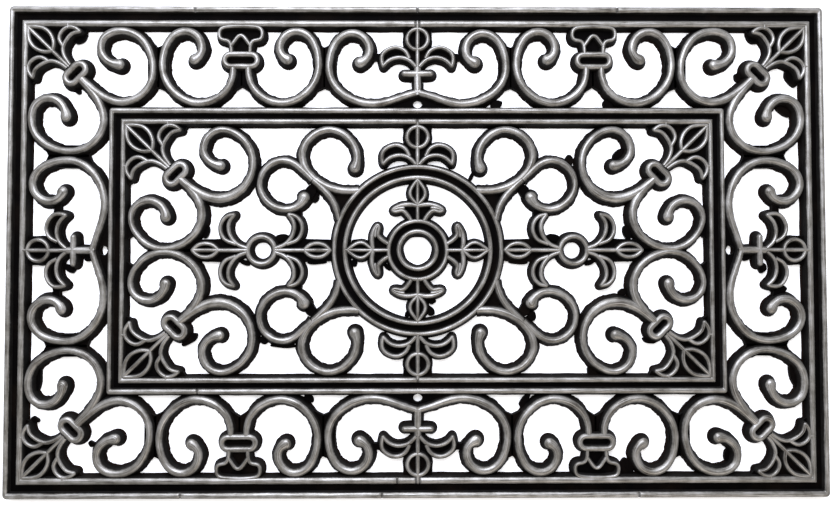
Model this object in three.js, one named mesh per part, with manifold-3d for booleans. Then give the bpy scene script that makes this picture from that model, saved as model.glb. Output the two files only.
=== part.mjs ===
// A scrollwork doormat of moulded rubber, lying flat with its ornament upward.
// X runs along its length, Y across it and Z up, with the origin under its middle.
import * as THREE from 'three';
import { mergeVertices } from 'three/addons/utils/BufferGeometryUtils.js';
import Module from 'manifold-3d';

const wasm = await Module();
wasm.setup();

// Overall size
const matLength = 762;
const matWidth = 457.2;
const matHeight = 10;

// Rails of the outer frame, across the ends and along the sides
const endRailWidth = 17.5;
const sideRailWidth = 18.9;

// Open band between the frames, and the rails of the inner frame
const bandWidth = 77.2;
const innerRailWidth = 14.8;
const frameCornerRadius = 3;
const frameWallFlare = 2.7;
const outerEdgeFlare = 0.8;

// Scroll bars: half of the usual width, and the spread of each wall at the foot
const barHalfWidth = 3.4;
const barWallFlare = 3.4;

// Fine beads that outline the leaves, straps and small rings
const beadHalfWidth = 1.6;
const beadWallFlare = 0.4;

// Low webs behind the ornament, and the seam between neighbouring pieces
const webHeight = 4.6;
const seam = 0.3;

// Rail of the medallion in the middle
const medallionRailWidth = 14;

// Collars where the corner scrolls spring from the palmettes
const collarHalfLength = 13.9;
const collarHalfWidth = 8.4;
const collarBeadHalfWidth = 2.3;

// Clasps on the long sides
const strapHalfLength = 18;
const strapHalfWidth = 8.3;
const crownHalfWidth = 20;
const claspBeadHalfWidth = 1.5;

// Cross bars and stems of the fleurs, and the drain hole under each
const fleurBarHalfLength = 15.4;
const fleurBarHalfWidth = 2.9;
const fleurStemHalfWidth = 2.6;
const drainHoleRadius = 3.1;

// Roundels beside the medallion
const roundelRadius = 14.8;
const roundelRailWidth = 4.4;
const roundelWallFlare = 3;
const roundelLeafHalfWidth = 8.2;

// Extra height given to the solids that only cut, and how closely flat faces are
// merged once pieces are joined
const cutterLift = 1;
const mergeStep = 0.08;

// Medallion as a share of the panel's half width, and the hub's ring as a share of
// the medallion's opening, with its rail as a share of the ring
const medallionShare = 0.6754;
const hubShare = 0.4397;
const hubRailWidthShare = 0.4583;

// How far the palmettes and the roundels reach, as shares of the band or the panel
const borderPalmetteShare = 0.8187;
const panelPalmetteSpanShare = 0.3438;
const panelPalmetteRiseShare = 0.5607;
const roundelSpanShare = 0.3406;
const roundelRiseShare = 0.5556;

// Layout worked out from the sizes above, measured from the middle
const bandOuterX = matLength / 2 - endRailWidth;
const bandOuterY = matWidth / 2 - sideRailWidth;
const bandInnerX = bandOuterX - bandWidth;
const bandInnerY = bandOuterY - bandWidth;
const panelX = bandInnerX - innerRailWidth;
const panelY = bandInnerY - innerRailWidth;
const medallionRadius = medallionShare * panelY;
const panelSpan = panelX - medallionRadius;
const hubRadius = hubShare * (medallionRadius - medallionRailWidth);
const hubRailWidth = hubRailWidthShare * hubRadius;

// The corner bays run along each side by shares of the band's width, and the other
// bays of the long side divide what is left
const cornerBayShare = 0.56;
const sideBayShare = 0.5681;
const fleurBayShare = 0.3598;
const claspShare = 0.6788;
const cornerBayX = bandInnerX - cornerBayShare * bandWidth;
const sideBayY = bandInnerY - sideBayShare * bandWidth;
const fleurBayX = cornerBayX * fleurBayShare;
const claspX = cornerBayX * claspShare;

// Each scroll is a row of places on its middle line: along its bay, across the
// band from the inner frame, and its width against the usual bar
const cornerScrollShares = [
  [-0.618, 0.369, 1], [-0.326, 0.238, 1], [-0.104, 0.131, 1.05], [0.204, 0.074, 1.05],
  [0.539, 0.117, 1.05], [0.813, 0.259, 1], [0.914, 0.447, 0.92], [0.836, 0.693, 0.97],
  [0.563, 0.89, 1.03], [0.164, 0.94, 1.08], [-0.132, 0.874, 1.1], [-0.218, 0.719, 1.05],
  [-0.074, 0.575, 1.1], [0.181, 0.532, 1.25],
];
const claspScrollShares = [
  [0.092, 0.512, 0.85], [0.103, 0.363, 0.9], [0.173, 0.216, 0.95], [0.321, 0.106, 1.02],
  [0.514, 0.063, 1.05], [0.712, 0.131, 1], [0.874, 0.298, 0.97], [0.935, 0.492, 0.95],
  [0.91, 0.706, 1], [0.813, 0.882, 1.06], [0.66, 0.939, 1.1], [0.522, 0.877, 1.1],
  [0.467, 0.738, 1.1], [0.495, 0.635, 1.15], [0.559, 0.595, 1.2],
];
const fleurScrollShares = [
  [-0.03, 0.204, 0.9], [0.134, 0.154, 0.9], [0.297, 0.089, 1], [0.491, 0.054, 1.05],
  [0.686, 0.105, 1.05], [0.846, 0.227, 1], [0.937, 0.408, 0.97], [0.937, 0.615, 1],
  [0.854, 0.835, 1.05], [0.703, 0.921, 1.1], [0.567, 0.856, 1.1], [0.513, 0.719, 1.1],
  [0.543, 0.608, 1.15], [0.615, 0.56, 1.25],
];

// The scrolls of the panel are placed from its end toward the medallion, and up
// from its long middle line
const panelTopScrollShares = [
  [0.253, 0.581, 1], [0.31, 0.503, 1.1], [0.378, 0.436, 1.2], [0.451, 0.41, 1.3],
  [0.526, 0.44, 1.25], [0.586, 0.528, 1.05], [0.615, 0.65, 0.93], [0.607, 0.782, 0.93],
  [0.557, 0.897, 0.93], [0.471, 0.957, 0.93], [0.407, 0.918, 0.98], [0.377, 0.811, 1],
  [0.393, 0.719, 1], [0.458, 0.669, 1.05],
];
const panelSideScrollShares = [
  [0.253, 0.581, 1], [0.31, 0.494, 1.1], [0.355, 0.391, 1.1], [0.371, 0.272, 1.05],
  [0.347, 0.153, 1], [0.287, 0.068, 0.95], [0.198, 0.025, 0.9], [0.112, 0.053, 0.85],
  [0.047, 0.148, 0.8], [0.026, 0.257, 0.82], [0.052, 0.357, 0.95], [0.117, 0.394, 1.02],
  [0.178, 0.353, 1.05], [0.201, 0.265, 1.12],
];
const bigCurlShares = [
  [1.16, 0.477, 1], [1.081, 0.47, 1], [0.997, 0.491, 1], [0.914, 0.566, 1.02],
  [0.862, 0.681, 1.02], [0.857, 0.794, 1.02], [0.904, 0.906, 1], [0.983, 0.957, 0.95],
  [1.063, 0.912, 1], [1.111, 0.809, 1], [1.121, 0.714, 1], [1.11, 0.651, 1.12],
];
const curlArmShares = [
  [0.909, 0.556, 0.9], [0.953, 0.489, 0.9], [0.992, 0.421, 0.9], [1.018, 0.34, 0.85],
  [1.035, 0.24, 0.8],
];
const smallCurlShares = [
  [0.857, 0.435, 1.1], [0.847, 0.374, 1.05], [0.812, 0.334, 0.98], [0.758, 0.325, 0.95],
  [0.695, 0.374, 0.92], [0.654, 0.476, 0.85], [0.656, 0.583, 0.85], [0.697, 0.675, 0.9],
  [0.763, 0.712, 0.92], [0.821, 0.683, 0.9], [0.862, 0.62, 0.9],
];
const smallCurlEndShare = 0.633;

// One half of a palmette, placed from its collar in shares of its reach; the
// other half is its mirror image across the diagonal
const leafArcShares = [
  [-0.686, 0.686], [-0.598, 0.692], [-0.467, 0.667], [-0.371, 0.585], [-0.32, 0.459],
  [-0.33, 0.33],
];
const crescentInnerShares = [
  [-0.073, 0.118], [-0.153, 0.239], [-0.183, 0.361], [-0.141, 0.479], [-0.05, 0.588],
  [0.059, 0.621],
];
const crescentOuterShares = [
  [-0.177, 0.391], [-0.238, 0.512], [-0.205, 0.618], [-0.108, 0.688], [-0.012, 0.676],
  [0.059, 0.627],
];
const palmetteWebShares = [
  [-0.8, 0.8], [0.15, 0.8], [0.15, 0.69], [0.1, 0.61], [-0.05, 0.588], [-0.141, 0.479],
  [-0.183, 0.361], [-0.153, 0.239], [-0.03, 0.11], [0.02, -0.02],
];

// One half of a fleur, across and up in shares of its spread and its height; a
// border fleur spreads by a share of its bay, and its ring stays round
const fleurSpreadShare = 0.44;
const fleurRingShare = 0.68;
const fleurRingRadiusShare = 0.2527;
const fleurOuterShares = [
  [0.2, 0.21], [0.29, 0.38], [0.42, 0.465], [0.55, 0.485], [0.72, 0.43], [0.85, 0.3],
  [0.862, 0.12], [0.835, 0.03],
];
const fleurInnerShares = [
  [0.04, 0.01], [0.22, 0.18], [0.46, 0.235], [0.68, 0.17], [0.83, 0.03],
];
const fleurWebShares = [
  [-0.02, -0.12], [0.2, 0.08], [0.46, 0.16], [0.68, 0.09], [0.835, 0], [0.862, 0.12],
  [0.85, 0.3], [0.72, 0.43], [0.55, 0.485], [0.4, 0.46], [0.27, 0.47], [0.34, 0.6],
  [0.345, 1.2], [-0.02, 1.2],
];
const fleurRootShare = 0.5;
const fleurBarShare = 0.421;
const fleurStemFootShare = 0.16;
const fleurTipWebShares = [
  [0.84, 0.14], [0.98, 0.21], [1.2, 0.18], [1.2, 0.42], [0.98, 0.35], [0.84, 0.38],
];

// Drain hole beside the inner frame at each border fleur
const drainHoleShare = 0.042;

// Clasp: the strap's height in the band, where the crown leaves the strap, and
// the crown's outline in shares of its half width and of the height above that
const strapShare = 0.583;
const strapTopShare = 0.25;
const claspOutlineShares = [
  [0.43, -0.05], [0.46, 0.24], [0.56, 0.4], [0.94, 0.5], [1, 0.66], [0.97, 0.83], [0.84, 0.93],
];
const claspPeakShares = [[0.46, 0.22], [0.07, 0.62], [-0.07, 0.62], [-0.46, 0.22]];
const claspBackShares = [[-0.84, 0.93], [0.84, 0.93], [0.84, 1.2], [-0.84, 1.2]];

// Low webs that fill the wedges where scrolls touch, along the bay and across it
const cornerScrollWebShares = [
  [0.78, 0.2], [1, 0.265], [1.1, 0.265], [1.1, 0.755], [1, 0.755], [0.77, 0.82],
];
const claspScrollWebShares = [
  [0.86, 0.2], [1, 0.265], [1.1, 0.265], [1.1, 0.755], [1, 0.755], [0.88, 0.82],
];
const claspFootWebShares = [
  [-0.1, 0.28], [0, 0.28], [0.14, 0.19], [0.18, 0.22], [0.11, 0.36], [0.1, 0.5], [-0.1, 0.5],
];
const fleurScrollWebShares = [
  [0.87, 0.2], [1, 0.265], [1.1, 0.265], [1.1, 0.755], [1, 0.755], [0.88, 0.82],
];
const fleurPeakWebShares = [[-0.1, -0.1], [0.3, -0.1], [0.3, 0.11], [0.1, 0.16], [-0.1, 0.16]];
const bigCurlWebShares = [[1.02, 0.33], [1.12, 0.33], [1.12, 0.46], [1.02, 0.46]];
const curlTouchWebShares = [
  [0.58, 0.5], [0.605, 0.6], [0.613, 0.72], [0.66, 0.66], [0.656, 0.583], [0.654, 0.49],
  [0.62, 0.51],
];
const smallCurlTipWebShares = [
  [0.862, 0.45], [0.872, 0.5], [0.898, 0.53], [0.924, 0.476], [0.898, 0.404], [0.872, 0.391],
];

// Roundel leaf: inner and outer arcs from the ring, in shares of the reach
const roundelInnerShares = [
  [0.2, 0.03], [0.32, 0.075], [0.41, 0.16], [0.462, 0.28], [0.455, 0.4], [0.39, 0.5],
];
const roundelOuterShares = [
  [0.37, 0.09], [0.51, 0.15], [0.578, 0.28], [0.56, 0.4], [0.48, 0.485], [0.39, 0.505],
];
const roundelWebShares = [
  [0.16, -0.02], [0.16, 0.04], [0.32, 0.075], [0.41, 0.16], [0.462, 0.28], [0.455, 0.4],
  [0.39, 0.505], [0.48, 0.485], [0.56, 0.4], [0.578, 0.28], [0.58, 0.16], [1.05, 0.16],
  [1.05, -0.02],
];
const roundelLeafStartShare = 0.58;
const roundelTouchWebShares = [[0.45, 0.4], [0.36, 0.57], [0.56, 0.57], [0.56, 0.4]];
const roundelRibShares = [[0.2, 0], [0.97, 0]];

// Hub finials in shares of the medallion's open radius
const hubLeafStartShare = 0.64;
const hubLeafHalfWidthShare = 0.112;
const hubRibShares = [[0, 0.4], [0, 1]];
const hubHornShares = [
  [0, 0.62], [-0.1, 0.642], [-0.21, 0.642], [-0.3, 0.615], [-0.355, 0.56], [-0.3, 0.545],
  [-0.2, 0.555], [-0.13, 0.49], [-0.09, 0.42],
];
const hubWebShares = [
  [-0.13, 0.4], [-0.13, 0.49], [-0.2, 0.555], [-0.3, 0.58], [-0.2, 0.642], [-0.112, 0.66],
  [-0.115, 0.79], [-0.11, 1.05], [0.02, 1.05], [0.02, 0.4],
];

// Cross-sections of the rails, from the outside in, as shares of width and height
const outerRailShares = [
  [0.09, 1], [0.22, 1], [0.28, 0.5], [0.61, 0.5], [0.67, 1], [0.95, 1],
];
const innerRailShares = [
  [0.06, 1], [0.27, 1], [0.33, 0.5], [0.66, 0.5], [0.73, 1], [0.94, 1],
];
const medallionRailShares = [
  [0.06, 1], [0.24, 1], [0.3, 0.5], [0.67, 0.5], [0.74, 1], [0.94, 1],
];
const hubRailShares = [
  [0.06, 1], [0.24, 1], [0.31, 0.5], [0.66, 0.5], [0.73, 1], [0.94, 1],
];
const roundelRailShares = [[0.15, 1], [0.5, 0.94], [0.85, 1]];

// How finely curves are divided
const scrollSections = 15;
const armSections = 4;
const straightSections = 2;
const leafArcSections = 4;
const crescentSections = 5;
const strapSections = 9;
const crownSections = 14;
const peakSections = 6;
const fleurOuterSections = 7;
const fleurInnerSections = 5;
const leafSections = 5;
const hornSections = 7;
const drillSegments = 12;
const medallionSegments = 36;
const hubSegments = 24;
const roundelSegments = 16;
const fleurRingSegments = 10;
const sampleCount = 200;
const turnLength = 30;
const bendReach = 4;
const insideShare = 0.9;
const capAngles = [0.85];

// Turns numbered corners and triangles into a solid that faces outward.
function solidFromMesh(corners, triangles) {
  let volume = 0;
  for (let i = 0; i < triangles.length; i += 3) {
    const [a, b, c] = [triangles[i], triangles[i + 1], triangles[i + 2]].map((k) => (
      new THREE.Vector3(corners[3 * k], corners[3 * k + 1], corners[3 * k + 2])));
    volume += a.dot(b.cross(c));
  }
  const triVerts = Uint32Array.from(triangles);
  if (volume < 0) {
    for (let i = 0; i < triVerts.length; i += 3) {
      [triVerts[i], triVerts[i + 1]] = [triVerts[i + 1], triVerts[i]];
    }
  }
  const vertProperties = Float32Array.from(corners);
  return new wasm.Manifold(new wasm.Mesh({ numProp: 3, vertProperties, triVerts }));
}

// Turns a closed three.js geometry into a solid.
function solidFromGeometry(geometry) {
  const bare = geometry.clone();
  bare.deleteAttribute('normal');
  bare.deleteAttribute('uv');
  const merged = mergeVertices(bare);
  return solidFromMesh(Array.from(merged.attributes.position.array), Array.from(merged.index.array));
}

// Joins rings of equal counts of points, capping both ends unless it closes on itself.
function loft(rings, capOutline) {
  const count = rings[0].length;
  const triangles = [];
  const spans = capOutline ? rings.length - 1 : rings.length;
  for (let i = 0; i < spans; i += 1) {
    const here = i * count;
    const next = ((i + 1) % rings.length) * count;
    for (let j = 0; j < count; j += 1) {
      const k = (j + 1) % count;
      triangles.push(here + j, next + j, next + k, here + j, next + k, here + k);
    }
  }
  if (capOutline) {
    const outline = capOutline.map(([u, v]) => new THREE.Vector2(u, v));
    const last = (rings.length - 1) * count;
    THREE.ShapeUtils.triangulateShape(outline, []).forEach(([a, b, c]) => {
      triangles.push(a, b, c, last + a, last + c, last + b);
    });
  }
  return solidFromMesh(rings.flat(2), triangles);
}

// Joins a list of solids into one.
function join(solids) {
  return solids.reduce((whole, piece) => whole.add(piece));
}

// Divides a smooth line through the places, more finely where it turns more.
function sectionsAlong(places, count, closed) {
  const points = places.map(([x, y, width]) => new THREE.Vector3(x, y, width));
  const curve = new THREE.CatmullRomCurve3(points, closed, 'centripetal');
  const samples = Array.from({ length: sampleCount + 1 }, (_, i) => curve.getPoint(i / sampleCount));
  const headings = samples.map((_, i) => {
    const before = closed ? (i + sampleCount - 1) % sampleCount : Math.max(i - 1, 0);
    const after = closed ? (i + 1) % sampleCount : Math.min(i + 1, sampleCount);
    return Math.atan2(samples[after].y - samples[before].y, samples[after].x - samples[before].x);
  });
  const turn = (from, to) => Math.atan2(Math.sin(to - from), Math.cos(to - from));
  const lengths = [0];
  const marks = [0];
  for (let i = 1; i <= sampleCount; i += 1) {
    const step = Math.hypot(samples[i].x - samples[i - 1].x, samples[i].y - samples[i - 1].y);
    lengths.push(lengths[i - 1] + step);
    marks.push(marks[i - 1] + step + turnLength * Math.abs(turn(headings[i - 1], headings[i])));
  }
  const pieces = closed ? count : count - 1;
  return Array.from({ length: count }, (_, k) => {
    const goal = (marks[sampleCount] * k) / pieces;
    const found = marks.findIndex((mark) => mark >= goal - Number.EPSILON * marks[sampleCount]);
    const i = found < 0 ? sampleCount : found;
    const low = Math.max(i - bendReach, 0);
    const high = Math.min(i + bendReach, sampleCount);
    const bend = turn(headings[low], headings[high]) / (lengths[high] - lengths[low]);
    const { x, y, z: halfWidth } = samples[i];
    return { x, y, halfWidth, heading: headings[i], bend };
  });
}

// Sweeps a flared bar along a line of places given as x, y and half width. Ends
// are square, or round where asked; grow makes the larger copy that cuts others.
function bar(places, {
  count, flare, closed = false, roundStart = false, roundEnd = false, grow = 0,
}) {
  const lines = sectionsAlong(places, count, closed);
  const cuts = lines.map((line) => ({ ...line, aside: 1, ahead: 0 }));
  const cap = (line, direction) => capAngles.map((angle) => (
    { ...line, aside: Math.cos(angle), ahead: direction * Math.sin(angle), bend: 0 }));
  if (roundStart) {
    cuts.unshift(...cap(lines[0], -1).reverse());
  }
  if (roundEnd) {
    cuts.push(...cap(lines[lines.length - 1], 1));
  }
  const lift = grow > 0 ? cutterLift : 0;
  const spread = (flare * lift) / matHeight;
  const rings = cuts.map((cut) => {
    const along = [Math.cos(cut.heading), Math.sin(cut.heading)];
    const top = cut.halfWidth + grow - spread;
    const foot = cut.halfWidth + grow + flare + spread;
    const most = cut.bend === 0 ? foot : insideShare / Math.abs(cut.bend);
    const place = (side, reach, height) => {
      const inside = side * cut.bend > 0;
      const width = side * cut.aside * (inside ? Math.min(reach, most) : reach);
      const on = reach * cut.ahead;
      return [
        cut.x - width * along[1] + on * along[0],
        cut.y + width * along[0] + on * along[1],
        height,
      ];
    };
    const crown = matHeight + lift;
    const ring = [place(1, foot, -lift), place(1, top, crown)];
    ring.push(place(-1, top, crown), place(-1, foot, -lift));
    return ring;
  });
  const width = barHalfWidth;
  const outline = [
    [width + flare, 0], [width, matHeight], [-width, matHeight], [-width - flare, 0]];
  return loft(rings, closed ? null : outline);
}

// A level plate of a height, with any number of sides, standing on a floor.
function plate(outline, height, floor = 0) {
  const shape = new THREE.Shape(outline.map(([x, y]) => new THREE.Vector2(x, y)));
  const raised = new THREE.ExtrudeGeometry(shape, { depth: height, bevelEnabled: false });
  return solidFromGeometry(raised.translate(0, 0, floor));
}

// A ring on the Z axis turned from a rail's cross-section.
function turnedRail(radius, width, shares, flare, segments) {
  const profile = railProfile(width, shares, flare, flare);
  const points = profile.map(([inset, z]) => new THREE.Vector2(radius - inset, z));
  points.push(points[0].clone());
  const geometry = new THREE.LatheGeometry(points, segments).rotateX(Math.PI / 2);
  return solidFromGeometry(geometry);
}

// The cross-section of a rail as inset and height, with feet that flare each way.
function railProfile(width, shares, outFlare, inFlare) {
  return [
    [-outFlare, 0],
    ...shares.map(([across, up]) => [across * width, up * matHeight]),
    [width + inFlare, 0],
  ];
}

// The points of a rectangle with small round corners, at one height.
function roundedRectangle(halfX, halfY, radius, height) {
  const corners = [[1, 1], [-1, 1], [-1, -1], [1, -1]];
  const steps = 1;
  return corners.flatMap(([sx, sy], quarter) => (
    Array.from({ length: steps + 1 }, (_, i) => {
      const angle = (quarter + i / steps) * (Math.PI / 2);
      return [
        sx * (halfX - radius) + radius * Math.cos(angle),
        sy * (halfY - radius) + radius * Math.sin(angle),
        height,
      ];
    })));
}

// A rectangular frame whose rails share one cross-section.
function frame(halfX, halfY, endWidth, sideWidth, shares, outFlare) {
  const endProfile = railProfile(endWidth, shares, outFlare, frameWallFlare);
  const sideProfile = railProfile(sideWidth, shares, outFlare, frameWallFlare);
  return loft(endProfile.map(([inset, z], i) => (
    roundedRectangle(halfX - inset, halfY - sideProfile[i][0], frameCornerRadius, z))));
}

// A block with sloping sides that follows a frame's wall, moved out by an offset.
function slopingBlock(halfX, halfY, footStep, offset) {
  const slope = footStep / matHeight;
  return loft([-cutterLift, matHeight + cutterLift].map((z) => {
    const step = offset + footStep - slope * z;
    return roundedRectangle(halfX + step, halfY + step, frameCornerRadius, z);
  }), roundedRectangle(halfX, halfY, frameCornerRadius, 0));
}

// A cone block that follows the medallion's wall, moved out by an offset.
function slopingDisc(radius, footStep, offset) {
  const slope = footStep / matHeight;
  const low = radius + offset + footStep + slope * cutterLift;
  const high = radius + offset - slope * cutterLift;
  const height = matHeight + 2 * cutterLift;
  const cone = new THREE.CylinderGeometry(high, low, height, medallionSegments);
  return solidFromGeometry(cone.rotateX(Math.PI / 2).translate(0, 0, matHeight / 2));
}

// A box between two corners on plan, tall enough to cut through everything.
function slab(lowX, highX, lowY, highY) {
  const height = matHeight + 2 * cutterLift;
  const box = new THREE.BoxGeometry(highX - lowX, highY - lowY, height);
  return solidFromGeometry(box.translate((lowX + highX) / 2, (lowY + highY) / 2, matHeight / 2));
}

const bandRoom = slopingBlock(bandOuterX, bandOuterY, -frameWallFlare, -seam);
const innerBlock = slopingBlock(bandInnerX, bandInnerY, frameWallFlare, seam);
const panelRoom = slopingBlock(panelX, panelY, -frameWallFlare, -seam);
const medallionBlock = slopingDisc(medallionRadius, frameWallFlare, seam);
const medallionRoom = slopingDisc(medallionRadius - medallionRailWidth, -frameWallFlare, -seam);

// Keeps the part of a solid that stands in the open band.
function inBand(solid) {
  return solid.intersect(bandRoom).subtract(innerBlock);
}

// Keeps the part of a solid that stands in the panel, clear of the medallion.
function inPanel(solid) {
  return solid.intersect(panelRoom).subtract(medallionBlock);
}

// Lays places out by a rule for the two shares, and scales the width share.
function layOut(rows, rule) {
  return rows.map(([u, v, width = 1]) => [...rule(u, v), width * barHalfWidth]);
}

// A scroll bar that ends in a round terminal.
function scroll(rows, rule, grow = 0) {
  return bar(layOut(rows, rule), {
    count: scrollSections, flare: barWallFlare, roundEnd: true, grow,
  });
}

// A low web laid out by a rule.
function web(rows, rule) {
  return plate(rows.map(([u, v]) => rule(u, v)), webHeight);
}

// A thin bead through places, closed on itself or with ends round where asked.
function bead(rows, rule, halfWidth, options) {
  const places = rows.map(([u, v]) => [...rule(u, v), halfWidth]);
  return bar(places, { flare: beadWallFlare, ...options });
}

// The places of a ring with straight sides and round ends, along an axis.
function stadium(centreX, centreY, angle, halfLength, halfWidth) {
  const straight = halfLength - halfWidth;
  const quarters = 4;
  return [1, -1].flatMap((end) => (
    Array.from({ length: quarters + 1 }, (_, i) => {
      const around = end * (Math.PI / 2) - (Math.PI * i) / quarters;
      const along = end * straight + halfWidth * Math.cos(around);
      const across = halfWidth * Math.sin(around);
      return [
        centreX + along * Math.cos(angle) - across * Math.sin(angle),
        centreY + along * Math.sin(angle) + across * Math.cos(angle),
      ];
    })));
}

const plain = (x, y) => [x, y];

// Where each palmette's collar stands, on the diagonal of its corner
const cornerStepShare = 0.707;
function collarPlace(cornerX, cornerY, [reachX, reachY]) {
  return [reachX * cornerStepShare - cornerX, cornerY - reachY * cornerStepShare];
}
const borderReach = [bandWidth * borderPalmetteShare, bandWidth * borderPalmetteShare];
const panelReach = [panelSpan * panelPalmetteSpanShare, panelY * panelPalmetteRiseShare];
const borderCollar = collarPlace(bandOuterX, bandOuterY, borderReach);
const panelCollar = collarPlace(panelX, panelY, panelReach);

// A palmette in the upper left corner: leaf, two crescents and collar on a web.
function palmette([collarX, collarY], [reachX, reachY]) {
  const rule = (u, v) => [collarX + u * reachX, collarY + v * reachY];
  const flip = (u, v) => rule(-v, -u);
  const half = (place) => [
    bead(leafArcShares, place, beadHalfWidth, { count: leafArcSections }),
    bead(crescentInnerShares, place, beadHalfWidth, { count: crescentSections, roundEnd: true }),
    bead(crescentOuterShares, place, beadHalfWidth, { count: crescentSections, roundEnd: true }),
    web(palmetteWebShares, place),
  ];
  const stem = bead([leafArcShares[0], [0, 0]], rule, beadHalfWidth, { count: straightSections });
  const line = collarLine([collarX, collarY]);
  return join([...half(rule), ...half(flip), stem]).subtract(strapCore(line)).add(strap(line));
}

// The middle line of a collar's bead.
function collarLine([collarX, collarY]) {
  const inset = collarBeadHalfWidth;
  return stadium(collarX, collarY, Math.PI / 4, collarHalfLength - inset, collarHalfWidth - inset);
}

// A band round a closed line, such as a collar or a strap, over a sunken slot.
function strap(line) {
  return strapRing(line).add(plate(line, webHeight));
}

// The bead that runs round a strap.
function strapRing(line, grow = 0) {
  return bead(line, plain, collarBeadHalfWidth, { count: strapSections, closed: true, grow });
}

// Everything inside a strap's outline, to clear it before the strap goes in.
function strapCore(line, grow = 0) {
  const core = plate(line, matHeight + 2 * cutterLift, -cutterLift);
  return grow > 0 ? core.add(strapRing(line, grow)) : core;
}

// Rules that place a corner scroll in the side bay above and in the end bay
const cornerTopRule = (u, v) => [
  u * (bandInnerX - cornerBayX) - bandInnerX, bandInnerY + v * bandWidth];
const cornerEndRule = (u, v) => [
  -bandInnerX - v * bandWidth, bandInnerY - u * (bandInnerY - sideBayY)];

// The two scrolls that spring from the collar in the upper left corner.
function cornerScrolls() {
  const rules = [cornerTopRule, cornerEndRule];
  const pieces = rules.flatMap((rule) => [
    scroll(cornerScrollShares, rule),
    web(cornerScrollWebShares, rule),
  ]);
  const room = slab(-matLength, -cornerBayX - seam / 2, sideBayY + seam / 2, matWidth);
  return inBand(join(pieces).intersect(room)).subtract(strapCore(collarLine(borderCollar), seam));
}

// Rules for the two scrolls of a clasp, outward and inward from its middle
const claspOuterRule = (u, v) => [
  -claspX - u * (cornerBayX - claspX), bandInnerY + v * bandWidth];
const claspInnerRule = (u, v) => [
  -claspX + u * (claspX - fleurBayX), bandInnerY + v * bandWidth];
const strapY = bandInnerY + strapShare * bandWidth;

// One scroll beside a clasp.
function claspScroll(rule, lowX, highX) {
  const pieces = [
    scroll(claspScrollShares, rule),
    web(claspScrollWebShares, rule),
    web(claspFootWebShares, rule),
  ];
  const room = slab(lowX + seam / 2, highX - seam / 2, 0, matWidth);
  return inBand(join(pieces).intersect(room)).subtract(strapCore(strapLine(), seam));
}

// The middle line of the bead round a clasp's strap.
function strapLine() {
  const inset = collarBeadHalfWidth;
  return stadium(-claspX, strapY, 0, strapHalfLength - inset, strapHalfWidth - inset);
}

// A clasp: a strap with a crown of beads that reaches the outer frame.
function clasp() {
  const foot = strapY + strapTopShare * (bandOuterY - strapY);
  const rule = (u, v) => [-claspX + u * crownHalfWidth, foot + v * (bandOuterY - foot)];
  const leftHalf = claspOutlineShares.map(([u, v]) => [-u, v]).reverse();
  const outline = [...claspOutlineShares, ...leftHalf];
  const crown = join([
    bead(outline, rule, claspBeadHalfWidth, { count: crownSections }),
    bead(claspPeakShares, rule, claspBeadHalfWidth, { count: peakSections }),
    web(outline, rule),
    web(claspBackShares, rule),
  ]);
  return inBand(crown.subtract(strapCore(strapLine())).add(strap(strapLine())));
}

// Rules for the bay of a fleur on the long side and on the end
const fleurTopRule = (u, v) => [-u * fleurBayX, bandInnerY + v * bandWidth];
const fleurTopFlip = (u, v) => [u * fleurBayX, bandInnerY + v * bandWidth];
const fleurEndRule = (u, v) => [-bandInnerX - v * bandWidth, u * sideBayY];
const fleurEndFlip = (u, v) => [-bandInnerX - v * bandWidth, -u * sideBayY];

// A pair of scrolls that meet in a peak under a fleur, with the drain hole.
function fleurScrollSolids(rules, grow) {
  return join(rules.map((rule) => scroll(fleurScrollShares, rule, grow)));
}

// The pair of fleur scrolls in one bay.
function fleurScrolls(rules, room) {
  const webs = rules.flatMap((rule) => [
    web(fleurScrollWebShares, rule), web(fleurPeakWebShares, rule)]);
  const [holeX, holeY] = rules[0](0, drainHoleShare);
  const height = matHeight + 2 * cutterLift;
  const drill = new THREE.CylinderGeometry(
    drainHoleRadius, drainHoleRadius, height, drillSegments,
  );
  const hole = solidFromGeometry(drill.rotateX(Math.PI / 2).translate(holeX, holeY, matHeight / 2));
  return inBand(join([fleurScrollSolids(rules, 0), ...webs]).intersect(room)).subtract(hole);
}

// The leaves and ring shared by every fleur, above its root; aspect is the fleur's
// height against its spread.
function fleurHead(rule, flip, rootShare, aspect) {
  const half = (place) => [
    bead(fleurOuterShares, place, beadHalfWidth, { count: fleurOuterSections, roundEnd: true }),
    bead(fleurInnerShares, place, beadHalfWidth, { count: fleurInnerSections, roundEnd: true }),
    web(fleurWebShares, place),
  ];
  const ring = Array.from({ length: fleurRingSegments }, (_, i) => {
    const angle = (2 * Math.PI * i) / fleurRingSegments;
    const reach = fleurRingRadiusShare;
    return [aspect * reach * Math.cos(angle), fleurRingShare + reach * Math.sin(angle)];
  });
  const ringTop = fleurRingShare + fleurRingRadiusShare;
  return join([
    ...half(rule), ...half(flip),
    bead(ring, rule, beadHalfWidth, { count: fleurRingSegments, closed: true }),
    bead([[0, -rootShare], [0, ringTop]], rule, beadHalfWidth, { count: straightSections }),
  ]);
}

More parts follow.
